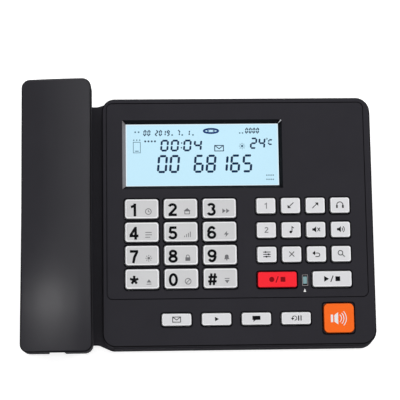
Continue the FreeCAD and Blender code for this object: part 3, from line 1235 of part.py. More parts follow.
def handset_socket_ranges():
    """Body of the handset's cord socket."""
    half = (JACK_SLOT - 0.4) / 2
    front = HANDSET_FRONT + JACK_RECESS
    low = HANDSET_UNDER + HANDSET_WALL + 1.0
    return ((HANDSET_CENTRE - half, HANDSET_CENTRE + half), (front, front + MODULAR_DEPTH - 2),
            (low, low + MODULAR_BODY - 2))


def socket_shelf():
    """Shelf in the inner shell under the cord socket."""
    (u0, u1), (v0, v1), (low, high) = handset_socket_ranges()
    return box((u0, u1), (v0, v1 - HANDSET_WALL), (HANDSET_UNDER + HANDSET_WALL - WELD, low))


def handset_cord_socket():
    """Cord socket in the handset's front end."""
    (u0, u1), (v0, v1), (low, high) = handset_socket_ranges()
    middle = (low + high) / 2
    half = CORD_OPENING / 2
    hole = box((HANDSET_CENTRE - half, HANDSET_CENTRE + half), (v0 - 1, v0 + OPENING_DEPTH - 1),
               (middle - MODULAR_HEIGHT / 2, middle + MODULAR_HEIGHT / 2))
    return box((u0, u1), (v0, v1), (low, high)).cut(hole)


def earpiece_capsule():
    """Receiver capsule behind the ear cup's holes."""
    low = ear_floor()
    rim = EARPIECE_RADIUS
    across, down, further = EARPIECE_STEP
    profile = [(0, -EARPIECE_THICK), (rim - across, -EARPIECE_THICK), (rim - across, down - EARPIECE_THICK),
               (rim, down + further - EARPIECE_THICK), (rim, 0), (0, 0)]
    capsule = revolved(profile, (HANDSET_CENTRE, EAR_PLACE), 0)
    capsule.rotate(Vector(HANDSET_CENTRE, EAR_PLACE, 0), Vector(1, 0, 0), 180)
    capsule.translate(Vector(0, 0, low))
    return capsule


def mouthpiece_capsule():
    """Electret microphone behind the mouth cup's holes."""
    low = mouth_floor()
    return rod((HANDSET_CENTRE, MOUTH_PLACE), MOUTHPIECE_RADIUS, low, low + MOUTHPIECE_THICK)


def handset_weight():
    """Steel weight on the floor of the grip."""
    low = HANDSET_UNDER + HANDSET_WALL
    front, back = HANDSET_SCREW_PLACES
    width, thick = WEIGHT_SIZE
    length = back - front - 2 * (HANDSET_POST_RADIUS + SLIP + WEIGHT_GAP)
    return block((HANDSET_CENTRE, (front + back) / 2), (width, length), 1.0, low, low + thick)


# ---- Screws and feet -----------------------------------------------------------------------------
def screw(place, head, radius, seat, length):
    """Screw with its head below a seat and its shank going up."""
    return joined(rod(place, head[0], seat - head[1], seat), [rod(place, radius, seat - WELD, seat + length)])


def case_screws():
    """Six screws that hold the housings together, driven from below."""
    seat = FOOT_HEIGHT + COUNTERBORE_DEPTH
    return Part.makeCompound([screw(place, CASE_SCREW_HEAD, CASE_SCREW_RADIUS, seat, CASE_SCREW_LENGTH)
                              for place in CASE_SCREW_PLACES])


def board_screws():
    """Six screws that hold the board to the cover."""
    length = BOARD_THICK + BOARD_SCREW_BITE
    return Part.makeCompound([screw(place, BOARD_SCREW_HEAD, BOARD_SCREW_RADIUS, BOARD_UNDER, length)
                              for place in board_boss_places()])


def handset_screws():
    """Two screws that hold the handset's shells together."""
    seat = HANDSET_UNDER + HANDSET_SCREW_SEAT
    return Part.makeCompound([screw((HANDSET_CENTRE, v), BOARD_SCREW_HEAD, BOARD_SCREW_RADIUS, seat,
                                    HANDSET_SCREW_LENGTH) for v in HANDSET_SCREW_PLACES])


def rubber_feet():
    """Four rubber feet under the lower housing."""
    feet = []
    for place in feet_places():
        foot = rod(place, FOOT_RADIUS, 0, FOOT_HEIGHT)
        feet.append(foot.makeChamfer(FOOT_CHAMFER, edges_at(foot, 0.0)))
    return Part.makeCompound(feet)


# ---- Assembly ------------------------------------------------------------------------------------
def build():
    """Every node by name, in the world frame."""
    window_low = -BEVEL_DEPTH - WINDOW_THICK
    glass_top = window_low - GLASS_GAP
    glass_low = glass_top - GLASS_THICK
    face_nodes = {
        "upper_housing": upper_housing(),
        "face_panel": face_panel(),
        "lcd_window": display_plate(WINDOW_MARGIN, window_low, -BEVEL_DEPTH),
        "lcd_glass": display_plate(GLASS_MARGIN, glass_low, glass_top),
        "lcd_backlight": display_plate(GLASS_MARGIN, -BOARD_DEPTH, glass_low),
        "indicator_window": indicator_window(),
        "circuit_board": circuit_board(),
        "key_mat": key_mat(),
        "loudspeaker": loudspeaker(),
        "hands_free_microphone": hands_free_microphone(),
        "hook_plunger": hook_plunger(),
        "hook_switch": hook_switch(),
        "board_screws": board_screws(),
        "handset_outer_shell": handset_outer_shell(),
        "handset_inner_shell": handset_inner_shell(),
        "earpiece_capsule": earpiece_capsule(),
        "mouthpiece_capsule": mouthpiece_capsule(),
        "handset_weight": handset_weight(),
        "handset_cord_socket": handset_cord_socket(),
        "handset_screws": handset_screws(),
    }
    for name, centre, size in key_list():
        face_nodes[name] = key_cap(centre, size)
    nodes = {name: to_world(shape) for name, shape in face_nodes.items()}
    nodes["lower_housing"] = lower_housing()
    nodes["line_jack"] = modular_socket(line_socket_ranges(), LINE_OPENING, "back")
    nodes["handset_jack"] = modular_socket(cord_socket_ranges(), CORD_OPENING, "left")
    nodes["earphone_jack"] = earphone_jack()
    nodes["battery_cells"] = battery_cells()
    nodes["battery_contacts"] = battery_contacts()
    nodes["battery_door"] = battery_door()
    nodes["case_screws"] = case_screws()
    nodes["rubber_feet"] = rubber_feet()
    return nodes


def main():
    """Centre the telephone over the origin, standing on the desk, and write one file per node."""
    os.makedirs("parts", exist_ok=True)
    nodes = build()
    bounds = Part.makeCompound(list(nodes.values())).optimalBoundingBox(False, False)
    shift = Vector(-(bounds.XMin + bounds.XMax) / 2, -(bounds.YMin + bounds.YMax) / 2, 0)
    for name, shape in nodes.items():
        placed = shape.copy()
        placed.translate(shift)
        placed.exportStep("parts/" + name + ".step")


main()
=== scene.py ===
"""Looks of the desk telephone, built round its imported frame. Metres, in the row frame."""
import math

import bmesh
import bpy
from mathutils import Matrix, Vector


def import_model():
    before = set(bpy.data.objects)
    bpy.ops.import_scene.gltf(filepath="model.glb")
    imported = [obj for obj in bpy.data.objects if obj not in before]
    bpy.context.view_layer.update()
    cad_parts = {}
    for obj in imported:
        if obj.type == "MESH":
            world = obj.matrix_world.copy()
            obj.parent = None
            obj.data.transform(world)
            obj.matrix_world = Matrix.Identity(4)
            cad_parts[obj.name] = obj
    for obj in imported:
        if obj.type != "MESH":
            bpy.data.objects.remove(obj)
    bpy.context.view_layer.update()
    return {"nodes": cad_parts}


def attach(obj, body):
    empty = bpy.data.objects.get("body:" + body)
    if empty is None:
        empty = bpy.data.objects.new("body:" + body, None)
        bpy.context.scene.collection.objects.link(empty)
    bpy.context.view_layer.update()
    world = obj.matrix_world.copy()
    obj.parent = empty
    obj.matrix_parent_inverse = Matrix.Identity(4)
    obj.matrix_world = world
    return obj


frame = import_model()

MM = 0.001
TILT = math.radians(9.0)                 # slope of the telephone's face
TO_ROW = Matrix.Rotation(TILT, 4, "X")   # from the face's directions (x, up the slope, outwards)
TO_FACE = TO_ROW.inverted()

# Camera
CAMERA_PLACE = (-0.034418, -0.262611, 0.929947)
CAMERA_TURN = (17.004, -1.922, -1.141)   # degrees about X, Y, Z
CAMERA_LENS = 119.98
CAMERA_SENSOR = 36.0

# Colours, linear
HOUSING = (0.0243, 0.0233, 0.0286)
HANDSET = (0.0203, 0.0195, 0.0245)
# Key rims are brighter than the darker fields inlaid in them: a painted highlight along the caps' edges
NUMBER_RIM = (0.90, 0.90, 0.92)
NUMBER_FACE = (0.625, 0.625, 0.635)
FUNCTION_RIM = (0.93, 0.93, 0.95)
FUNCTION_FACE = (0.72, 0.72, 0.74)
RECORD_RED = (0.97, 0.016, 0.030)
HANDS_FREE_ORANGE = (0.97, 0.146, 0.010)
LCD_LIGHT = (0.557, 0.835, 0.975)
LCD_EDGE = (0.80, 0.93, 1.0)
LCD_DARK = (0.0, 0.023, 0.080)
LCD_BLUE = (0.004, 0.045, 0.20)
LCD_GREY = (0.10, 0.20, 0.28)
INK = (0.001, 0.001, 0.002)
GREY_INK = (0.17, 0.17, 0.18)
RED_INK = (0.25, 0.004, 0.008)
WHITE_INK = (0.86, 0.86, 0.86)

# Painted shade: darker edges, by the object's own normal
UPWARD = (0.0, 0.0, 1.0)
EDGE_BAND = (0.05, 0.35, 0.80, 0.93)   # upward part of the normal where the painted shade on edges begins, holds and ends
CAP_SHADE_AXIS = (0.21, -0.45, 0.868)        # painted shade: caps are darker where they face away from this direction
CAP_SHADE_BAND = (0.76, 0.86)                # part of the normal along it where that fades, from and to
WALL_ROUGHNESS = 0.95

# Floor, surroundings and soft lamps, in metres
FLOOR_REACH = 3.0
FLOOR_WHITE = 0.66            # what the camera sees added to the floor, so that it shows white
SURROUNDINGS = 0.40           # strength of the even light
LAMPS = (("back", (0.0, 1.0, 1.2), (0.0, 0.0, 0.0), (1.0, 0.5), 7.4),      # place, target, size and power
         ("right", (0.85, 0.2, 1.1), (0.0, 0.0, 0.02), (0.5, 0.5), 3.2),
         ("front_left", (-0.7, -0.95, 1.2), (0.0, 0.0, 0.0), (0.8, 0.5), 3.6))

# Lamps over the handset: strips that grow brighter to the right, and three narrow ones at its front
SHEEN_START = -0.24
SHEEN_STEP = 0.11
SHEEN_STEPS = 5
SHEEN_BACK = 0.125
SHEEN_UP = 1.6
SHEEN_LENGTH = 0.81
SHEEN_POWER = 0.90
GLOW_TARGET = (-0.103, -0.059, 0.039)
GLOWS = (((-0.261, -0.246, 1.545), (0.20, 0.03), 0.375),      # place, size and power
         ((-0.261, -0.246, 1.565), (0.48, 0.03), 0.71),
         ((-0.261, -0.315, 1.585), (0.42, 0.10), 0.31))

# Printed and inlaid pieces, in millimetres
INLAY = 0.03                  # how far an inlay stands on a cap
PRINT = 0.02                  # thickness of printed ink
CAP_FLANGE = 1.0              # a key node's flange reaches this far past its cap
WINDOW_MARGIN = 3.0           # the clear window reaches this far past the lit area
BEVEL_RUN = 2.4               # width of a bevel of the display's opening, seen from above
MITRE_WIDTH = 0.75            # painted glint: light line in the corner of the bevels, to the right at the back
FOOT_LINE = 0.55              # painted shade: black line at the foot of the front and right bevels
BACK_LINE = (0.2, 2.0)        # black line on the glass, from and to, behind the lit area
LIT_EDGE = 0.6                # lighter edge of the lit area
BEVEL_SUNK = 0.05             # the bevels end this far under the panel's face
INDICATOR_LIT = (2.7, 5.0)    # the part of the indicator's lens that shows
DIGIT_HEIGHT = 9.0
DIGIT_STROKE = 1.8
DIGIT_FROM_LEFT = 6.15        # digit's middle from the cap's left edge
DIGIT_DROP = 0.8              # digit's middle below the cap's middle
OPENING_EDGE = 0.65           # painted shade: dark edge round each key's opening
OPENING_EDGE_DROP = 0.2       # the painted shade is this much wider in front
OPENING_CORNERS = (2.0, 2.4)  # corner radii of its inner and outer outlines
NUMBER_BORDER = (1.0, 1.3)    # width of the bright rim on a cap, a painted highlight, and the corner radius of the darker field inside it
FUNCTION_BORDER = (0.8, 1.0)
STRIP_BORDER = (0.8, 0.9)
KEY_GAP = 0.4                 # room round a cap in its opening
SIGN_FROM_LEFT = 16.4         # small sign's middle from the cap's left edge
SIGN_DROP = 2.0               # and below the cap's middle
HANDS_FREE_DROP = 0.35        # loudspeaker sign's middle below the orange cap's
WAVES = (3.6, 5.3, 7.0)       # radii of its waves, and their angle and stroke
WAVE_ANGLE = 44
WAVE_STROKE = 0.55


# ---- Node helpers ---------------------------------------------------------------------------------
def new_material(name):
    """Material, its node tree, its Principled shader and an object coordinate."""
    material = bpy.data.materials.new(name)
    material.use_nodes = True
    tree = material.node_tree
    shader = tree.nodes["Principled BSDF"]
    place = tree.nodes.new("ShaderNodeTexCoord").outputs["Object"]
    return material, tree, shader, place


def noise(tree, place, scale, detail=2.0):
    """Noise texture's value at a scale in features per metre."""
    node = tree.nodes.new("ShaderNodeTexNoise")
    node.inputs["Scale"].default_value = scale
    node.inputs["Detail"].default_value = detail
    tree.links.new(place, node.inputs["Vector"])
    return node.outputs["Fac"]


def spread(tree, value, low, high):
    """Map a noise value from its usual range to low and high."""
    node = tree.nodes.new("ShaderNodeMapRange")
    node.inputs["From Min"].default_value = 0.3
    node.inputs["From Max"].default_value = 0.7
    node.inputs["To Min"].default_value = low
    node.inputs["To Max"].default_value = high
    tree.links.new(value, node.inputs["Value"])
    return node.outputs["Result"]


def shade(tree, value, dark, light):
    """Colour between two shades by a noise value."""
    node = tree.nodes.new("ShaderNodeValToRGB")
    node.color_ramp.elements[0].position = 0.3
    node.color_ramp.elements[1].position = 0.7
    node.color_ramp.elements[0].color = (*dark, 1)
    node.color_ramp.elements[1].color = (*light, 1)
    tree.links.new(value, node.inputs["Fac"])
    return node.outputs["Color"]


def facing(tree, axis):
    """How far the surface faces along an axis, from the object's own normal."""
    spot = tree.nodes.new("ShaderNodeTexCoord")
    along = tree.nodes.new("ShaderNodeVectorMath")
    along.operation = "DOT_PRODUCT"
    along.inputs[1].default_value = axis
    tree.links.new(spot.outputs["Normal"], along.inputs[0])
    return along.outputs["Value"]


def dull_walls(tree, gloss):
    """Roughness that is raised on walls and rounded edges."""
    wall = tree.nodes.new("ShaderNodeMapRange")
    wall.inputs["From Min"].default_value, wall.inputs["From Max"].default_value = EDGE_BAND[2:]
    wall.inputs["To Min"].default_value, wall.inputs["To Max"].default_value = WALL_ROUGHNESS, 0.0
    tree.links.new(facing(tree, UPWARD), wall.inputs["Value"])
    rough = tree.nodes.new("ShaderNodeMath")
    rough.operation = "MAXIMUM"
    tree.links.new(gloss, rough.inputs[0])
    tree.links.new(wall.outputs["Result"], rough.inputs[1])
    return rough.outputs["Value"]


def paint_shade_by_facing(tree, colour, axis, stops):
    """Painted shade: colour times a tone that follows how far the surface faces along an axis."""
    ramp = tree.nodes.new("ShaderNodeValToRGB")
    for position, _ in stops[1:-1]:
        ramp.color_ramp.elements.new(position)
    for element, (position, tone) in zip(ramp.color_ramp.elements, stops):
        element.position = position
        element.color = (tone, tone, tone, 1)
    tree.links.new(facing(tree, axis), ramp.inputs["Fac"])
    mix = tree.nodes.new("ShaderNodeMix")
    mix.data_type = "RGBA"
    mix.blend_type = "MULTIPLY"
    mix.inputs["Factor"].default_value = 1.0
    first, second = [socket for socket in mix.inputs if socket.type == "RGBA"]
    tree.links.new(colour, first)
    tree.links.new(ramp.outputs["Color"], second)
    return [socket for socket in mix.outputs if socket.type == "RGBA"][0]


def bump(tree, heights, shader, distance):
    """Chain of bump nodes from (height, strength) pairs into a shader's normal."""
    normal = None
    for height, strength in heights:
        node = tree.nodes.new("ShaderNodeBump")
        node.inputs["Strength"].default_value = strength
        node.inputs["Distance"].default_value = distance
        tree.links.new(height, node.inputs["Height"])
        if normal is not None:
            tree.links.new(normal, node.inputs["Normal"])
        normal = node.outputs["Normal"]
    tree.links.new(normal, shader.inputs["Normal"])


# ---- Materials ------------------------------------------------------------------------------------
def moulded(name, colour, roughness, grain=2600.0, strength=0.12, specular=0.2, mottle=0.04, edges=None,
            cap=None):
    """Moulded plastic: fine spark-eroded grain, a faint mottle and uneven gloss.

    Painted shade: rounded edges are darkened to the share edges, and a cap's back and left sides to the share
    cap, if given.
    """
    material, tree, shader, place = new_material(name)
    dark = [c * (1 - mottle) for c in colour]
    light = [c * (1 + mottle) for c in colour]
    tone = shade(tree, noise(tree, place, 45.0), dark, light)
    # painted shade on rounded edges and on a cap's back and left sides
    if edges is not None:
        tone = paint_shade_by_facing(tree, tone, UPWARD, list(zip(EDGE_BAND, (1.0, edges, edges, 1.0))))
    if cap is not None:
        tone = paint_shade_by_facing(tree, tone, CAP_SHADE_AXIS, list(zip(CAP_SHADE_BAND, (cap, 1.0))))
    tree.links.new(tone, shader.inputs["Base Color"])
    gloss = spread(tree, noise(tree, place, 160.0), roughness * 0.94, roughness * 1.06)
    tree.links.new(gloss if edges is None else dull_walls(tree, gloss), shader.inputs["Roughness"])
    shader.inputs["Specular IOR Level"].default_value = specular
    fine = noise(tree, place, grain, 3.0)
    coarse = noise(tree, place, grain / 6, 2.0)
    bump(tree, [(fine, strength), (coarse, strength / 3)], shader, 0.00004)
    return material


def metal(name, colour, roughness, grain=900.0):
    """Plated or bare metal with faint scratches along X."""
    material, tree, shader, place = new_material(name)
    mapping = tree.nodes.new("ShaderNodeMapping")
    mapping.inputs["Scale"].default_value = (0.08, 1.0, 1.0)
    tree.links.new(place, mapping.inputs["Vector"])
    lines = noise(tree, mapping.outputs["Vector"], grain, 4.0)
    shader.inputs["Metallic"].default_value = 1.0
    tree.links.new(shade(tree, lines, [c * 0.85 for c in colour], colour), shader.inputs["Base Color"])
    tree.links.new(spread(tree, lines, roughness * 0.8, roughness * 1.2), shader.inputs["Roughness"])
    bump(tree, [(lines, 0.15)], shader, 0.00003)
    return material


def lit_glass(name, colour):
    """Backlit liquid-crystal glass: even pale light with a faint cloudiness."""
    material, tree, shader, place = new_material(name)
    shader.inputs["Base Color"].default_value = (0.02, 0.03, 0.04, 1)
    shader.inputs["Roughness"].default_value = 0.3
    shader.inputs["Specular IOR Level"].default_value = 0.1
    glow = shade(tree, noise(tree, place, 14.0, 1.0), [c * 0.975 for c in colour], colour)
    tree.links.new(glow, shader.inputs["Emission Color"])
    shader.inputs["Emission Strength"].default_value = 1.05
    return material


def clear_window():
    """Thin clear window: almost all see-through, with a weak sheen."""
    material, tree, shader, place = new_material("display_window")
    shader.inputs["Base Color"].default_value = (0.05, 0.06, 0.07, 1)
    shader.inputs["Roughness"].default_value = 0.15
    shader.inputs["Specular IOR Level"].default_value = 0.1
    shader.inputs["Alpha"].default_value = 0.04
    bump(tree, [(noise(tree, place, 60.0), 0.05)], shader, 0.00005)
    return material


def ink(name, colour, roughness=0.5):
    """Printed ink: nearly flat, with slightly uneven cover."""
    material, tree, shader, place = new_material(name)
    cover = noise(tree, place, 1800.0, 2.0)
    thin = [c * 0.92 + 0.002 for c in colour]
    tree.links.new(shade(tree, cover, thin, colour), shader.inputs["Base Color"])
    shader.inputs["Roughness"].default_value = roughness
    shader.inputs["Specular IOR Level"].default_value = 0.04
    return material


MATERIALS = {
    # housing and handset: painted shade on their rounded edges
    "housing": moulded("housing_plastic", HOUSING, 0.50, specular=0.05, edges=0.12),
    "handset": moulded("handset_plastic", HANDSET, 0.155, 3200.0, 0.01, 0.12, edges=0.1),
    # key caps, here and below: painted shade on their back and left sides; their bright rims round darker
    # fields are a painted highlight
    "number_rim": moulded("number_key_rim", NUMBER_RIM, 0.40, 3000.0, 0.05, cap=0.35),
    "number_face": moulded("number_key_face", NUMBER_FACE, 0.45, 3000.0, 0.08, 0.15, 0.02),
    "function_rim": moulded("function_key_rim", FUNCTION_RIM, 0.40, 3000.0, 0.05, cap=0.35),
    "function_face": moulded("function_key_face", FUNCTION_FACE, 0.45, 3000.0, 0.08, 0.15, 0.02),
    "record_key": moulded("record_key_plastic", RECORD_RED, 0.45, 3000.0, 0.08, 0.12, 0.03, cap=0.2),
    "hands_free_key": moulded("hands_free_key_plastic", HANDS_FREE_ORANGE, 0.45, 3000.0, 0.08, 0.12, 0.03,
                              cap=0.25),
    # display bevels: near-black painted shade on three slopes, a light grey painted highlight on the left
    # slope, a painted glint on the mitre; the first two also serve the indicator's surround and line
    "bevel_dark": moulded("display_bevel_dark", (0.0040, 0.0038, 0.0052), 0.5, 3000.0, 0.04, 0.06),
    "bevel_light": moulded("display_bevel_light", (0.235, 0.215, 0.222), 0.35, 3000.0, 0.04, 0.3),
    "mitre": moulded("display_mitre_painted_glint", (0.62, 0.62, 0.64), 0.35, 3000.0, 0.04, 0.3),
    # near-black: painted shade round the key openings and at the foot of the display's bevels, and the black
    # line behind its lit area
    "opening": moulded("painted_opening_shade", (0.001, 0.001, 0.002), 0.6, 3000.0, 0.05, 0.02),
    "socket": moulded("socket_plastic", (0.010, 0.010, 0.011), 0.35),
    "board": moulded("circuit_laminate", (0.02, 0.12, 0.04), 0.35, 900.0, 0.15),
    "mat": moulded("key_mat_rubber", (0.45, 0.46, 0.47), 0.6, 900.0),
    "rubber": moulded("foot_rubber", (0.014, 0.014, 0.014), 0.85, 1500.0, 0.4),
    "cell": moulded("cell_jacket", (0.06, 0.11, 0.25), 0.3, 900.0, 0.05),
    "backlight": moulded("display_backlight", (0.8, 0.88, 0.95), 0.4, 900.0, 0.05),
    "lens": moulded("indicator_lens", (0.17, 0.32, 0.34), 0.25, 900.0, 0.05, 0.4),
    "screw": metal("screw_steel", (0.45, 0.45, 0.47), 0.35),
    "contact": metal("contact_steel", (0.62, 0.62, 0.64), 0.25),
    "weight": metal("weight_steel", (0.25, 0.25, 0.25), 0.5),
    "capsule": metal("capsule_metal", (0.55, 0.55, 0.57), 0.3),
    "loudspeaker": metal("loudspeaker_steel", (0.05, 0.05, 0.055), 0.5),
    "glass": lit_glass("display_glass", LCD_LIGHT),
    "glass_edge": lit_glass("display_glass_edge", LCD_EDGE),
    "window": clear_window(),
    "ink": ink("black_ink", INK),
    "grey_ink": ink("grey_ink", GREY_INK),
    "red_ink": ink("dark_red_ink", RED_INK),
    "white_ink": ink("white_ink", WHITE_INK),
    "segment": ink("display_segments", LCD_DARK, 0.3),
    "blue_segment": ink("display_blue_sign", LCD_BLUE, 0.3),
    "faint_segment": ink("display_small_marks", LCD_GREY, 0.3),
}

NODE_FINISH = {
    "upper_housing": "housing", "lower_housing": "housing", "face_panel": "housing",
    "battery_door": "housing", "hook_plunger": "housing",
    "handset_outer_shell": "handset", "handset_inner_shell": "handset",
    "lcd_window": "window", "lcd_glass": "glass", "lcd_backlight": "backlight",
    "indicator_window": "lens", "circuit_board": "board", "key_mat": "mat", "rubber_feet": "rubber",
    "loudspeaker": "loudspeaker", "battery_cells": "cell", "battery_contacts": "contact",
    "handset_weight": "weight", "record_key": "record_key", "hands_free_key": "hands_free_key",
    "hands_free_microphone": "capsule", "mouthpiece_capsule": "capsule", "earpiece_capsule": "capsule",
    "hook_switch": "socket",
}


def finish_of(node):
    """Name of the finish a CAD node wears."""
    if node in NODE_FINISH:
        return NODE_FINISH[node]
    if node.endswith("_screws"):
        return "screw"
    if node.endswith("_jack") or node.endswith("_socket"):
        return "socket"
    if node.startswith("key_"):
        return "number_rim"
    return "function_rim"


for node_name, node_object in frame["nodes"].items():
    node_object.data.materials.clear()
    node_object.data.materials.append(MATERIALS[finish_of(node_name)])


# ---- Outlines, in millimetres in the plane of the face ----------------------------------------------
def arc(x, y, radius, start, end, steps=10):
    """Points along an arc, with its angles in degrees."""
    angles = [math.radians(start + (end - start) * step / steps) for step in range(steps + 1)]
    return [(x + radius * math.cos(angle), y + radius * math.sin(angle)) for angle in angles]


def round_rectangle(width, height, corner):
    """Round-cornered rectangle about the origin."""
    half_x, half_y = width / 2 - corner, height / 2 - corner
    points = []
    for sx, sy, start in ((1, 1, 0), (-1, 1, 90), (-1, -1, 180), (1, -1, 270)):
        points += arc(sx * half_x, sy * half_y, corner, start, start + 90, 5)
    return points


def offset_sides(points, width, closed):
    """The two sides of a band of a given width along a line of points."""
    left, right = [], []
    count = len(points)
    for index, (x, y) in enumerate(points):
        before = points[index - 1] if closed or index > 0 else None
        after = points[(index + 1) % count] if closed or index < count - 1 else None
        ways = []
        if before:
            ways.append(Vector((x - before[0], y - before[1])).normalized())
        if after:
            ways.append(Vector((after[0] - x, after[1] - y)).normalized())
        way = sum(ways, Vector((0, 0))).normalized()
        reach = width / 2 / max(way.dot(ways[0]), 0.35)
        side = Vector((-way.y, way.x)) * reach
        left.append((x + side.x, y + side.y))
        right.append((x - side.x, y - side.y))
    return left, right


def fused(parts):
    """Mesh with the overlapping parts of another joined into one body."""
    body = bpy.data.objects.new("parts", parts)
    nothing = bpy.data.objects.new("nothing", bpy.data.meshes.new("nothing"))
    for item in (body, nothing):
        bpy.context.scene.collection.objects.link(item)
    join = body.modifiers.new("join", "BOOLEAN")
    join.operation, join.solver, join.use_self, join.object = "UNION", "EXACT", True, nothing
    whole = bpy.data.meshes.new_from_object(body.evaluated_get(bpy.context.evaluated_depsgraph_get()))
    for item in (body, nothing):
        data = item.data
        bpy.data.objects.remove(item)
        bpy.data.meshes.remove(data)
    return whole


class Plate:
    """Thin flat piece made of outlines, bands and rings, at a level of the face."""

    def __init__(self, level, thick):
        self.mesh = bmesh.new()
        self.parts = 0
        self.low, self.high = level, level + thick

    def outline(self, points):
        """Solid plate inside a closed outline."""
        area = sum(a[0] * b[1] - b[0] * a[1] for a, b in zip(points, points[1:] + points[:1]))
        ordered = points if area > 0 else points[::-1]
        top = [self.mesh.verts.new((x, y, self.high)) for x, y in ordered]
        bottom = [self.mesh.verts.new((x, y, self.low)) for x, y in ordered]
        self.mesh.faces.new(top)
        self.mesh.faces.new(bottom[::-1])
        self.walls(top, bottom)
        self.parts += 1

    def walls(self, top, bottom):
        """Faces between two loops."""
        for index in range(len(top)):
            a, b = index - 1, index
            self.mesh.faces.new((top[b], top[a], bottom[a], bottom[b]))

    def band(self, points, width, closed=False):
        """Band along a line of points."""
        left, right = offset_sides(points, width, closed)
        if closed:
            self.ring(left, right)
        else:
            self.outline(left + right[::-1])

    def ring(self, left, right):
        """Ring between two closed outlines with as many points."""
        loops = []
        for side in (left, right):
            loops.append(([self.mesh.verts.new((x, y, self.high)) for x, y in side],
                          [self.mesh.verts.new((x, y, self.low)) for x, y in side]))
        (left_top, left_bottom), (right_top, right_bottom) = loops
        for index in range(len(left)):
            a, b = index - 1, index
            self.mesh.faces.new((left_top[a], right_top[a], right_top[b], left_top[b]))
            self.mesh.faces.new((left_bottom[b], right_bottom[b], right_bottom[a], left_bottom[a]))
        self.walls(left_top, left_bottom)
        self.walls(right_top[::-1], right_bottom[::-1])
        self.parts += 1

    def finish(self, name, centre, finish, body, slot, slant=0.0):
        """Set the plate on the face at a centre, as a named piece of a body."""
        bmesh.ops.recalc_face_normals(self.mesh, faces=self.mesh.faces)
        data = bpy.data.meshes.new(name)
        self.mesh.to_mesh(data)
        self.mesh.free()
        if self.parts > 1:
            data = fused(data)
        lean = Matrix.Identity(4)
        lean[0][1] = slant
        data.transform(TO_ROW @ Matrix.Scale(MM, 4) @ Matrix.Translation((*centre, 0.0)) @ lean)
        data.materials.append(MATERIALS[finish])
        piece = bpy.data.objects.new(name, data)
        bpy.context.scene.collection.objects.link(piece)
        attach(piece, body)
        return piece


# ---- Where the CAD nodes are, on the face -----------------------------------------------------------
def face_extent(node):
    """Lowest and highest corner of a node along the face's directions, in millimetres."""
    points = [TO_FACE @ vertex.co for vertex in frame["nodes"][node].data.vertices]
    low = [min(point[axis] for point in points) / MM for axis in range(3)]
    high = [max(point[axis] for point in points) / MM for axis in range(3)]
    return low, high


def cap_of(key):
    """Centre, width, height and top level of a key's cap."""
    low, high = face_extent(key)
    centre = ((low[0] + high[0]) / 2, (low[1] + high[1]) / 2)
    return centre, high[0] - low[0] - 2 * CAP_FLANGE, high[1] - low[1] - 2 * CAP_FLANGE, high[2]


# ---- Signs: small pictograms drawn in a field about 10 wide and 8 high -------------------------------
def speaker_box(shift=0.0):
    """Outline of a small loudspeaker sign."""
    return [(-4 + shift, -1.3), (-2.2 + shift, -1.3), (0.4 + shift, -3.4), (0.4 + shift, 3.4),
            (-2.2 + shift, 1.3), (-4 + shift, 1.3)]


def note_flag():
    """Stem and flag of a note."""
    return [(1.0, -2.4), (1.0, 3.6), (3.0, 1.8)]


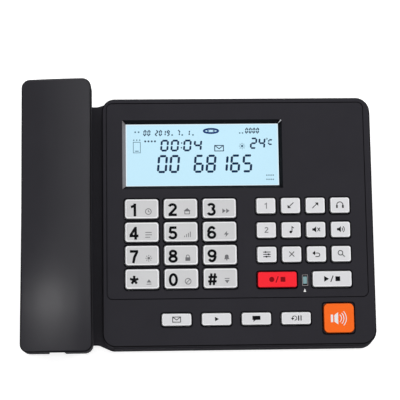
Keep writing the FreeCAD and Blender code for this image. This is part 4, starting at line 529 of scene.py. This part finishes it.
SIGNS = {   # name: (filled outlines, open lines, closed lines)
    "clock": ([], [[(0, 2.2), (0, 0), (1.7, -0.8)]], [arc(0, 0, 3.6, 0, 342, 19)]),
    "house": ([[(-4.4, 0.2), (0, 4), (4.4, 0.2)]], [], [[(-3, -3.4), (3, -3.4), (3, 0.2), (-3, 0.2)]]),
    "forward": ([[(-4.5, -3), (-0.3, 0), (-4.5, 3)], [(0.3, -3), (4.5, 0), (0.3, 3)]], [], []),
    "list": ([], [[(-4, 3), (4, 3)], [(-4, 0), (4, 0)], [(-4, -3), (2, -3)]], []),
    "bars": ([], [[(-3.6, -3.4), (-3.6, -1.4)], [(-1.2, -3.4), (-1.2, 0.4)], [(1.2, -3.4), (1.2, 2)],
                  [(3.6, -3.4), (3.6, 3.6)]], []),
    "bolt": ([[(0.8, 4), (-3, -0.6), (-0.4, -0.6), (-1.2, -4), (3, 0.9), (0.4, 0.9)]], [], []),
    "sun": ([arc(0, 0, 1.7, 0, 342, 19)],
            [[(2.7 * math.cos(a * math.pi / 4), 2.7 * math.sin(a * math.pi / 4)),
              (4.1 * math.cos(a * math.pi / 4), 4.1 * math.sin(a * math.pi / 4))] for a in range(8)], []),
    "lock": ([[(-3, -3.8), (3, -3.8), (3, 0.6), (-3, 0.6)]],
             [[(-1.9, 0.6)] + arc(0, 1.6, 1.9, 180, 0) + [(1.9, 0.6)]], []),
    "bell": ([[(-3.6, -2.2), (3.6, -2.2), (2.4, -0.8)] + arc(0, 1.2, 2.4, 0, 180) + [(-2.4, -0.8)],
              arc(0, -3.1, 0.8, 0, 342, 12)], [], []),
    "up": ([[(-3, -1), (3, -1), (0, 3)]], [[(-3, -3), (3, -3)]], []),
    "down": ([[(-3, 1), (0, -3), (3, 1)]], [[(-3, 3), (3, 3)]], []),
    "barred": ([], [[(-2.4, -2.4), (2.4, 2.4)]], [arc(0, 0, 3.6, 0, 342, 19)]),
    "incoming": ([[(-3.4, -3), (0.4, -3), (-3.4, 0.8)]], [[(3.4, 3.4), (-1.4, -1.2)]], []),
    "outgoing": ([[(3.4, 3), (-0.4, 3), (3.4, -0.8)]], [[(-3.4, -3.4), (1.4, 1.2)]], []),
    "earphone": ([[(-4.4, -3.4), (-2.4, -3.4), (-2.4, 0), (-4.4, 0)],
                  [(2.4, -3.4), (4.4, -3.4), (4.4, 0), (2.4, 0)]], [arc(0, 0, 3.5, 180, 0, 14)], []),
    "music": ([arc(-0.5, -2.6, 1.5, 0, 342, 15)], [note_flag()], []),
    "mute": ([speaker_box()], [[(1.8, -2), (4.8, 2)], [(1.8, 2), (4.8, -2)]], []),
    "volume": ([speaker_box()], [arc(0.2, 0, 2.1, -50, 50), arc(0.2, 0, 4.1, -50, 50)], []),
    "setup": ([arc(-1.5, 2.6, 1.1, 0, 342, 12), arc(2, 0, 1.1, 0, 342, 12), arc(-0.5, -2.6, 1.1, 0, 342, 12)],
              [[(-4.2, 2.6), (4.2, 2.6)], [(-4.2, 0), (4.2, 0)], [(-4.2, -2.6), (4.2, -2.6)]], []),
    "cancel": ([], [[(-2.8, -2.8), (2.8, 2.8)], [(-2.8, 2.8), (2.8, -2.8)]], []),
    "callback": ([[(-4.6, 0.9), (-1.6, 3.6), (-1.6, -1.8)]],
                 [[(-1.6, 0.9), (1.6, 0.9)] + arc(1.6, -1.1, 2.0, 90, -90) + [(-1.2, -3.1)]], []),
    "query": ([], [[(1.2, -1.0), (4, -3.6)]], [arc(-0.9, 0.9, 2.6, 0, 342, 19)]),
    "record_stop": ([arc(-5.4, 0, 2.5, 0, 342, 19), [(3.2, -2.3), (7.8, -2.3), (7.8, 2.3), (3.2, 2.3)]],
                    [[(-1.4, -3), (1.0, 3)]], []),
    "play_stop": ([[(-7.8, -2.8), (-3.0, 0), (-7.8, 2.8)],
                   [(3.2, -2.3), (7.8, -2.3), (7.8, 2.3), (3.2, 2.3)]], [[(-1.4, -3), (1.0, 3)]], []),
    "envelope": ([], [[(-5, 3.2), (0, -0.6), (5, 3.2)]], [[(-5, -3.2), (5, -3.2), (5, 3.2), (-5, 3.2)]]),
    "message_play": ([[(-2, -2.8), (3, 0), (-2, 2.8)]], [], []),
    "bubble": ([[(-5, -1.6), (-3.4, -1.6), (-4.2, -4), (-0.8, -1.6), (5, -1.6), (5, 3.4), (-5, 3.4)]],
               [], []),
    "redial": ([[(2.4, -3.2), (3.8, -3.2), (3.8, 3.2), (2.4, 3.2)],
                [(5.4, -3.2), (6.8, -3.2), (6.8, 3.2), (5.4, 3.2)], [(-6.6, 0.2), (-2.4, 0.2), (-4.5, -2.6)]],
               [arc(-2.0, 0, 2.7, 180, -90, 14)], []),
}


def add_sign(plate, sign, centre, scale, stroke):
    """Draw a sign into a plate."""
    def placed(points):
        return [(centre[0] + x * scale, centre[1] + y * scale) for x, y in points]
    filled, lines, loops = SIGNS[sign]
    for points in filled:
        plate.outline(placed(points))
    for points in lines:
        plate.band(placed(points), stroke)
    for points in loops:
        plate.band(placed(points), stroke, closed=True)


# ---- Key faces and legends ----------------------------------------------------------------------------
def key_face(key, border, finish, slot):
    """Slightly darker field inside a cap's bright rim, which shows as a painted highlight."""
    centre, width, height, top = cap_of(key)
    rim, corner = border
    plate = Plate(top, INLAY)
    plate.outline(round_rectangle(width - 2 * rim, height - 2 * rim, corner))
    plate.finish(key + "_face", centre, finish, key, slot)


def painted_opening_shade(key, level):
    """Painted shade: dark edge of a key's opening, a little wider in front of the cap."""
    (x, y), width, height, _ = cap_of(key)
    inner = round_rectangle(width + 2 * KEY_GAP, height + 2 * KEY_GAP, OPENING_CORNERS[0])
    grown = KEY_GAP + OPENING_EDGE
    outer = round_rectangle(width + 2 * grown, height + 2 * grown + OPENING_EDGE_DROP, OPENING_CORNERS[1])
    outer = [(px, py - OPENING_EDGE_DROP / 2) for px, py in outer]
    plate = Plate(level, PRINT)
    plate.ring(outer, inner)
    plate.finish(key + "_painted_opening_shade", (x, y), "opening", "root", "housing_plastic")


def key_sign(key, sign, scale, stroke, finish, slot, shift=(0.0, 0.0)):
    """Small sign printed on a cap."""
    centre, _, _, top = cap_of(key)
    plate = Plate(top + INLAY, PRINT)
    add_sign(plate, sign, shift, scale, stroke)
    plate.finish(key + "_sign", centre, finish, key, slot)


def oval(x, y, across, up, start=0, end=352, steps=22):
    """Points along an oval arc, with its angles in degrees."""
    return [(x + (px - x) * across, y + (py - y) * up) for px, py in arc(x, y, 1.0, start, end, steps)]


def turned(lines):
    """Lines turned half round in a numeral's field."""
    return [[(6.2 - x, 8.6 - y) for x, y in points] for points in lines]


SIX = ([oval(3.2, 4.3, 2.3, 3.5, 180, 38)], [oval(3.1, 2.75, 2.2, 1.95)])
NUMERALS = {   # name: (open lines, closed lines), in a field 6.2 wide and 8.6 high
    "1": ([[(3.9, 0), (3.9, 8.6)], [(3.9, 7.6), (2.9, 6.8), (1.3, 6.3)]], []),
    "2": ([oval(3.05, 5.95, 2.15, 1.85, 165, -30, 14) + [(1.2, 1.2)], [(0.4, 0.8), (5.9, 0.8)]], []),
    "3": ([oval(2.95, 6.2, 1.95, 1.6, 160, -80, 14), oval(2.95, 2.6, 2.25, 1.85, 80, -160, 14)], []),
    "4": ([[(4.3, 0), (4.3, 8.6)], [(0.2, 2.5), (6.2, 2.5)], [(4.3, 8.0), (0.9, 2.9)]], []),
    "5": ([[(1.0, 7.8), (5.6, 7.8)], [(1.6, 7.8), (1.25, 4.3)], oval(2.95, 2.8, 2.3, 2.05, 135, -160, 14)],
          []),
    "6": SIX,
    "7": ([[(0.4, 7.8), (5.9, 7.8)], [(5.2, 7.4), (3.5, 4.2), (2.6, 0)]], []),
    "8": ([], [oval(3.1, 6.3, 1.9, 1.55), oval(3.1, 2.5, 2.25, 1.75)]),
    "9": (turned(SIX[0]), turned(SIX[1])),
    "0": ([], [oval(3.1, 4.3, 2.2, 3.5)]),
    "star": ([[(3.1, 4.3), (3.1 + 2.9 * math.sin(a * math.pi / 2.5), 4.3 + 2.9 * math.cos(a * math.pi / 2.5))]
              for a in range(5)], []),
    "hash": ([[(1.5, 0.4), (2.5, 8.2)], [(3.9, 0.4), (4.9, 8.2)], [(0.2, 2.9), (5.9, 2.9)],
              [(0.5, 5.8), (6.2, 5.8)]], []),
}


def key_numeral(key, numeral, centre, level, height, stroke, slot, finish="ink"):
    """Numeral printed on a cap, its middle at centre."""
    lines, loops = NUMERALS[numeral]
    scale = height / 8.6
    plate = Plate(level, PRINT)
    for points in lines:
        plate.band([((x - 3.1) * scale, (y - 4.3) * scale) for x, y in points], stroke)
    for points in loops:
        plate.band([((x - 3.1) * scale, (y - 4.3) * scale) for x, y in points], stroke, closed=True)
    plate.finish(key + "_numeral", centre, finish, key, slot)


NUMBER_SIGNS = {
    "1": "clock", "2": "house", "3": "forward", "4": "list", "5": "bars", "6": "bolt", "7": "sun",
    "8": "lock", "9": "bell", "star": "up", "0": "barred", "hash": "down",
}
NUMERAL_STROKES = {"star": 1.65, "hash": 1.55}   # where it isn't the usual heavy one
FUNCTION_SIGNS = {
    "incoming_key": "incoming", "outgoing_key": "outgoing", "earphone_key": "earphone", "music_key": "music",
    "mute_key": "mute", "volume_key": "volume", "setup_key": "setup", "cancel_key": "cancel",
    "callback_key": "callback", "query_key": "query",
}
STRIP_SIGNS = {
    "leave_message_key": "envelope", "message_play_key": "message_play", "owner_message_key": "bubble",
    "redial_key": "redial",
}


def dress_number_keys():
    """Faces, numerals and small signs of the number pad."""
    slot = "number_key_plastic"
    for numeral, sign in NUMBER_SIGNS.items():
        key = "key_" + numeral
        key_face(key, NUMBER_BORDER, "number_face", slot)
        (x, y), width, _, top = cap_of(key)
        stroke = NUMERAL_STROKES.get(numeral, DIGIT_STROKE)
        place = (x - width / 2 + DIGIT_FROM_LEFT, y - DIGIT_DROP)
        key_numeral(key, numeral, place, top + INLAY, DIGIT_HEIGHT, stroke, slot)
        key_sign(key, sign, 0.56, 0.5, "grey_ink", slot, (SIGN_FROM_LEFT - width / 2, -SIGN_DROP))


def dress_function_keys():
    """Faces and signs of the small keys, the record keys and the answering keys."""
    slot = "function_key_plastic"
    for key in ("memory_1_key", "memory_2_key"):
        key_face(key, FUNCTION_BORDER, "function_face", slot)
        (x, y), _, _, top = cap_of(key)
        key_numeral(key, key[7], (x, y), top + INLAY, 4.2, 0.6, slot, "grey_ink")
    for key, sign in FUNCTION_SIGNS.items():
        key_face(key, FUNCTION_BORDER, "function_face", slot)
        key_sign(key, sign, 0.62, 0.55, "ink", slot)
    key_face("record_play_key", FUNCTION_BORDER, "function_face", slot)
    key_sign("record_play_key", "play_stop", 0.72, 0.7, "ink", slot)
    for key, sign in STRIP_SIGNS.items():
        key_face(key, STRIP_BORDER, "function_face", slot)
        key_sign(key, sign, 0.55, 0.5, "ink", slot)
    key_sign("record_key", "record_stop", 0.72, 0.7, "red_ink", "record_key_plastic")
    dress_hands_free_key()


def dress_hands_free_key():
    """White loudspeaker sign with three waves on the orange key."""
    centre, _, _, top = cap_of("hands_free_key")
    plate = Plate(top, PRINT)
    plate.outline([(-5.7, -2.6), (-4.15, -2.6), (-4.15, 2.6), (-5.7, 2.6)])
    plate.outline([(-3.2, -2.3), (-0.6, -4.2), (-0.6, 4.2), (-3.2, 2.3)])
    for radius in WAVES:
        plate.band(arc(-1.9, 0, radius, -WAVE_ANGLE, WAVE_ANGLE, 14), WAVE_STROKE)
    place = (centre[0], centre[1] - HANDS_FREE_DROP)
    plate.finish("hands_free_key_sign", place, "white_ink", "hands_free_key", "hands_free_key_plastic")


def dress_openings():
    """Painted shade round all the keys' openings."""
    level = face_extent("face_panel")[1][2]
    for key in sorted(frame["nodes"]):
        if key.startswith("key_") and key != "key_mat" or key.endswith("_key"):
            painted_opening_shade(key, level)


# ---- Display ------------------------------------------------------------------------------------------
SEGMENTS = {"0": "abcdef", "1": "bc", "2": "abged", "3": "abgcd", "4": "fgbc", "5": "afgcd", "6": "afgedc",
            "7": "abc", "8": "abcdefg", "9": "abcdfg", "c": "afed"}
SLANT = 0.09                  # sideways lean of the display's figures
SMALL = 0.84                  # stroke of the smallest figures
LCD_BODY = "root"


def segment_bars(width, height, stroke, gap):
    """Ends of a figure's seven bars, shortened by small gaps."""
    x, y, middle = width - stroke, height - stroke, (height - stroke) / 2
    return {
        "a": ((gap, y), (x - gap, y)), "g": ((gap, middle), (x - gap, middle)), "d": ((gap, 0), (x - gap, 0)),
        "f": ((0, middle + gap), (0, y - gap)), "b": ((x, middle + gap), (x, y - gap)),
        "e": ((0, gap), (0, middle - gap)), "c": ((x, gap), (x, middle - gap)),
    }


def bar(plate, start, end, stroke):
    """One bar with pointed ends."""
    way = (Vector(end) - Vector(start)).normalized()
    side = Vector((-way.y, way.x)) * stroke / 2
    tip = way * stroke / 2
    a, b = Vector(start), Vector(end)
    corners = (a - tip * 0.6, a + side, b + side, b + tip * 0.6, b - side, a - side)
    plate.outline([(corner.x, corner.y) for corner in corners])


class Display:
    """Places figures and marks on the glass, from the lit area's top left corner, in millimetres."""

    def __init__(self):
        low, high = face_extent("lcd_window")
        self.left = low[0] + WINDOW_MARGIN
        self.top = high[1] - WINDOW_MARGIN
        self.size = (high[0] - low[0] - 2 * WINDOW_MARGIN, high[1] - low[1] - 2 * WINDOW_MARGIN)
        self.level = face_extent("lcd_glass")[1][2]

    def plate(self):
        return Plate(self.level, PRINT)

    def finish(self, plate, name, left, base, finish="segment", slant=SLANT):
        plate.finish(name, (self.left + left, self.top - base), finish, LCD_BODY, "display_glass", slant)

    def figures(self, name, text, left, base, width, height, stroke, pitch, gap=0.46):
        """Row of seven-bar figures; a space leaves a place empty."""
        plate = self.plate()
        bars = segment_bars(width, height, stroke, stroke * gap)
        for index, letter in enumerate(text):
            for segment in SEGMENTS.get(letter, ""):
                ends = [(x + index * pitch + stroke / 2, y + stroke / 2) for x, y in bars[segment]]
                bar(plate, *ends, stroke)
        self.finish(plate, name, left, base)

    def blocks(self, name, places, size, base, finish="faint_segment"):
        """Row of small square marks."""
        plate = self.plate()
        for x in places:
            plate.outline([(x, 0), (x + size, 0), (x + size, size), (x, size)])
        self.finish(plate, name, 0.0, base, finish, 0.0)

    def sign(self, name, sign, left, base, scale, stroke, finish="segment"):
        plate = self.plate()
        add_sign(plate, sign, (0, 0), scale, stroke)
        self.finish(plate, name, left, base, finish, 0.0)


def dress_display():
    """Figures and plain marks that the display shows."""
    lcd = Display()
    lcd.figures("lcd_call_number", "00", 12.3, 8.2, 2.2, 4.4, SMALL, 2.8)
    lcd.figures("lcd_year", "2019", 20.6, 8.3, 2.2, 4.4, SMALL, 2.75)
    lcd.figures("lcd_month", "7", 36.2, 8.3, 2.2, 4.4, SMALL, 2.8)
    lcd.figures("lcd_day", "1", 43.2, 8.3, 2.2, 4.4, SMALL, 2.8)
    lcd.blocks("lcd_date_marks", (32.4, 39.6, 47.2), 1.1, 8.1)
    lcd.blocks("lcd_call_marks", (6.2, 8.6), 1.1, 5.9)
    lcd.figures("lcd_counter", "0000", 84.8, 6.9, 2.1, 4.3, SMALL, 2.6)
    lcd.blocks("lcd_counter_marks", (80.6, 82.6), 1.0, 6.9)
    lcd.figures("lcd_hour", "00", 24.2, 19.4, 5.8, 8.5, 1.4, 7.3)
    lcd.figures("lcd_minute", "04", 40.4, 19.4, 5.8, 8.5, 1.4, 7.4)
    lcd.figures("lcd_degrees", "24", 88.0, 18.0, 4.9, 8.2, 1.25, 5.9)
    lcd.figures("lcd_unit", "c", 100.9, 15.3, 3.6, 4.3, 1.05, 5.0)
    lcd.figures("lcd_line", "00 68165", 21.7, 34.9, 7.1, 13.0, 1.65, 8.62, 0.54)
    colon = lcd.plate()
    for height in (2.2, 5.6):
        colon.outline([(0, height), (0.9, height), (0.9, height + 0.9), (0, height + 0.9)])
    lcd.finish(colon, "lcd_colon", 38.7, 19.4)
    degree = lcd.plate()
    degree.band(arc(0, 0, 0.5, 0, 330, 11), 0.3, closed=True)
    lcd.finish(degree, "lcd_degree_ring", 100.4, 10.7)
    oval = lcd.plate()
    ring = [(5.1 * math.cos(a * math.pi / 16), 1.5 * math.sin(a * math.pi / 16)) for a in range(32)]
    oval.band(ring, 1.35, closed=True)
    oval.outline([(-2.6, -0.9), (-1.0, 0), (-2.6, 0.9)])
    oval.outline([(2.6, -0.9), (2.6, 0.9), (1.0, 0)])
    lcd.finish(oval, "lcd_line_sign", 60.6, 4.8, "blue_segment", 0.0)
    lcd.blocks("lcd_dots", (13.2, 15.5, 17.8, 20.1), 1.2, 12.6, "segment")
    cell = lcd.plate()
    cell.band([(0, 0), (5.0, 0), (5.0, 7.6), (0, 7.6)], 0.4, closed=True)
    cell.outline([(1.2, 0.9), (3.8, 0.9), (3.8, 1.5), (1.2, 1.5)])
    for x in (0.0, 2.1, 4.2):
        cell.outline([(x, 8.6), (x + 0.8, 8.6), (x + 0.8, 9.6), (x, 9.6)])
    lcd.finish(cell, "lcd_cell_sign", 5.3, 20.2, "faint_segment", 0.0)
    lcd.sign("lcd_message_sign", "envelope", 66.2, 17.3, 0.62, 0.6)
    lcd.sign("lcd_warmth_sign", "sun", 82.6, 15.9, 0.55, 0.45, "faint_segment")
    wide, deep = lcd.size
    near, far = BACK_LINE
    half = LIT_EDGE / 2
    left, right, front, back = half, wide - half, half - deep, near - half
    edge = lcd.plate()
    edge.band([(left, back), (right, back), (right, front), (left, front)], LIT_EDGE, closed=True)
    lcd.finish(edge, "lcd_lit_edge", 0.0, 0.0, "glass_edge", 0.0)
    shut = lcd.plate()
    shut.outline([(0, near), (wide, near), (wide, far), (0, far)])
    lcd.finish(shut, "lcd_back_line", 0.0, 0.0, "opening", 0.0)
    for row, base in enumerate((37.4, 40.4)):
        lcd.blocks("lcd_small_marks_%d" % row, [99.4 + 1.5 * place for place in range(4)], 0.85, base)


# ---- Bevels, indicator and panel print ------------------------------------------------------------------
def bevel_strip(name, inner, outer, low, high, finish):
    """Facing on one slope of the display's opening, between its lower and upper edges."""
    above = [(*point, low + INLAY) for point in inner] + [(*point, high + INLAY) for point in reversed(outer)]
    below = [(x, y, w - 2 * INLAY) for x, y, w in above]
    faces = [(0, 1, 2, 3), (7, 6, 5, 4)] + [(i, i + 4, (i + 1) % 4 + 4, (i + 1) % 4) for i in range(4)]
    data = bpy.data.meshes.new(name)
    data.from_pydata(above + below, [], faces)
    data.transform(TO_ROW @ Matrix.Scale(MM, 4))
    data.materials.append(MATERIALS[finish])
    piece = bpy.data.objects.new(name, data)
    bpy.context.scene.collection.objects.link(piece)
    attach(piece, "root")


def dress_bevels():
    """Dark facings as painted shade on three slopes of the display's opening, a light one on the left as a
    painted highlight, and their lines: a painted glint at the mitre and painted shade at the feet.
    """
    low, high = face_extent("lcd_window")
    x0, x1 = low[0] + WINDOW_MARGIN, high[0] - WINDOW_MARGIN
    y0, y1 = low[1] + WINDOW_MARGIN, high[1] - WINDOW_MARGIN
    foot = high[2]
    rim = face_extent("face_panel")[1][2] - BEVEL_SUNK
    run = BEVEL_RUN

    def side(index, grown):
        """Ends of one side of the lit area, front, right, back or left, grown outwards."""
        corners = [(x0 - grown, y0 - grown), (x1 + grown, y0 - grown), (x1 + grown, y1 + grown),
                   (x0 - grown, y1 + grown)]
        return corners[index], corners[(index + 1) % 4]

    for index, name in enumerate(("front", "right", "back", "left")):
        # painted highlight on the left slope, painted shade on the other three
        finish = "bevel_light" if name == "left" else "bevel_dark"
        bevel_strip("display_bevel_" + name, side(index, 0.0), side(index, run), foot, rim, finish)
    # painted glint along the mitre at the back right corner
    half = MITRE_WIDTH / 2
    corner = [(x1 + half, y1 - half), (x1 - half, y1 + half)]
    bevel_strip("display_mitre", corner, [(x + run - half, y + run - half) for x, y in corner],
                foot + INLAY, rim + INLAY, "mitre")
    # painted shade at the foot of the front and right slopes
    start = foot + 1.5 * INLAY
    rise = (rim - foot) * FOOT_LINE / run
    for index, name in enumerate(("front", "right")):
        bevel_strip("display_foot_" + name, side(index, 0.0), side(index, FOOT_LINE), start, start + rise,
                    "opening")


def dress_indicator():
    """Dark surround and grey line on the indicator's lens, and the small arrow in front of it."""
    centre, width, height, level = cap_of("indicator_window")
    surround = Plate(level, INLAY)
    lit = [(x - 0.1, y + 0.35) for x, y in round_rectangle(*INDICATOR_LIT, 0.3)]
    surround.ring(round_rectangle(width - 0.1, height - 0.1, 0.3), lit)
    surround.finish("indicator_surround", centre, "bevel_dark", "root", "indicator_lens")
    line = Plate(level + INLAY, PRINT)
    line.band([(x, y + 0.3) for x, y in round_rectangle(width - 0.6, height - 1.5, 0.3)], 0.4, closed=True)
    line.finish("indicator_line", centre, "bevel_light", "root", "indicator_lens")
    arrow = Plate(face_extent("face_panel")[1][2], PRINT)
    arrow.outline([(-0.9, 0), (0.9, 0), (0, 2.4)])
    arrow.finish("indicator_arrow", (centre[0] - 0.3, centre[1] - height / 2 - 3.3), "white_ink", "root",
                 "housing_plastic")


# ---- Floor, light and camera -----------------------------------------------------------------------
def seen_rays(tree):
    """One for camera, glossy and transmission rays, and nought for the rest."""
    path = tree.nodes.new("ShaderNodeLightPath")
    seen = path.outputs["Is Camera Ray"]
    for ray in ("Is Glossy Ray", "Is Transmission Ray"):
        most = tree.nodes.new("ShaderNodeMath")
        most.operation = "MAXIMUM"
        tree.links.new(seen, most.inputs[0])
        tree.links.new(path.outputs[ray], most.inputs[1])
        seen = most.outputs["Value"]
    return seen


def floor():
    """Plain pale floor that shows white to the camera and keeps the shadow."""
    mesh = bpy.data.meshes.new("floor")
    corners = [(x * FLOOR_REACH, y * FLOOR_REACH, 0) for x, y in ((-1, -1), (1, -1), (1, 1), (-1, 1))]
    mesh.from_pydata(corners, [], [(0, 1, 2, 3)])
    plane = bpy.data.objects.new("floor", mesh)
    bpy.context.scene.collection.objects.link(plane)
    material, tree, shader, place = new_material("floor_paper")
    shader.inputs["Roughness"].default_value = 0.9
    shader.inputs["Specular IOR Level"].default_value = 0.0
    tree.links.new(shade(tree, noise(tree, place, 3.0), (0.80, 0.80, 0.80), (0.82, 0.82, 0.82)),
                   shader.inputs["Base Color"])
    white = tree.nodes.new("ShaderNodeEmission")
    both = tree.nodes.new("ShaderNodeAddShader")
    choose = tree.nodes.new("ShaderNodeMixShader")
    white.inputs["Strength"].default_value = FLOOR_WHITE
    tree.links.new(shader.outputs["BSDF"], both.inputs[0])
    tree.links.new(white.outputs["Emission"], both.inputs[1])
    tree.links.new(seen_rays(tree), choose.inputs["Fac"])
    tree.links.new(shader.outputs["BSDF"], choose.inputs[1])
    tree.links.new(both.outputs["Shader"], choose.inputs[2])
    tree.links.new(choose.outputs["Shader"], tree.nodes["Material Output"].inputs["Surface"])
    mesh.materials.append(material)


def area_light(name, place, target, size, power):
    """Rectangular soft light aimed at a point, its width level and along X."""
    data = bpy.data.lights.new(name, "AREA")
    data.shape = "RECTANGLE"
    data.size, data.size_y = size
    data.energy = power
    lamp = bpy.data.objects.new(name, data)
    away = (Vector(place) - Vector(target)).normalized()
    across = (Vector((1, 0, 0)) - away * away.x).normalized()
    turn = Matrix((across, away.cross(across), away)).transposed()
    lamp.matrix_world = Matrix.Translation(place) @ turn.to_4x4()
    bpy.context.scene.collection.objects.link(lamp)


def world(strength):
    """Even surroundings, which show white and light the object at a strength."""
    surroundings = bpy.data.worlds.new("studio")
    surroundings.use_nodes = True
    tree = surroundings.node_tree
    background = tree.nodes["Background"]
    background.inputs["Color"].default_value = (1.0, 1.0, 1.0, 1)
    level = tree.nodes.new("ShaderNodeMapRange")
    level.inputs["To Min"].default_value = strength
    level.inputs["To Max"].default_value = 1.0
    tree.links.new(seen_rays(tree), level.inputs["Value"])
    tree.links.new(level.outputs["Result"], background.inputs["Strength"])
    bpy.context.scene.world = surroundings


def camera():
    """Camera at the photograph's viewing angle."""
    data = bpy.data.cameras.new("camera")
    data.lens = CAMERA_LENS
    data.sensor_width = CAMERA_SENSOR
    data.clip_start, data.clip_end = 0.05, 20.0
    eye = bpy.data.objects.new("camera", data)
    eye.location = CAMERA_PLACE
    eye.rotation_euler = [math.radians(angle) for angle in CAMERA_TURN]
    bpy.context.scene.collection.objects.link(eye)
    bpy.context.scene.camera = eye


dress_number_keys()
dress_function_keys()
dress_openings()
dress_display()
dress_bevels()
dress_indicator()

floor()
world(SURROUNDINGS)
for lamp in LAMPS:
    area_light(*lamp)
for step in range(SHEEN_STEPS):
    edge = SHEEN_START + step * SHEEN_STEP
    power = SHEEN_POWER * (step + 1) / SHEEN_STEPS
    area_light("sheen_%d" % step, (edge, SHEEN_BACK, SHEEN_UP), (edge, SHEEN_BACK, 0.0),
               (SHEEN_STEP, SHEEN_LENGTH), power)
for index, (glow_place, glow_size, glow_power) in enumerate(GLOWS):
    area_light("handset_glow_%d" % index, glow_place, GLOW_TARGET, glow_size, glow_power)
camera()
bpy.context.scene.view_settings.view_transform = "Standard"
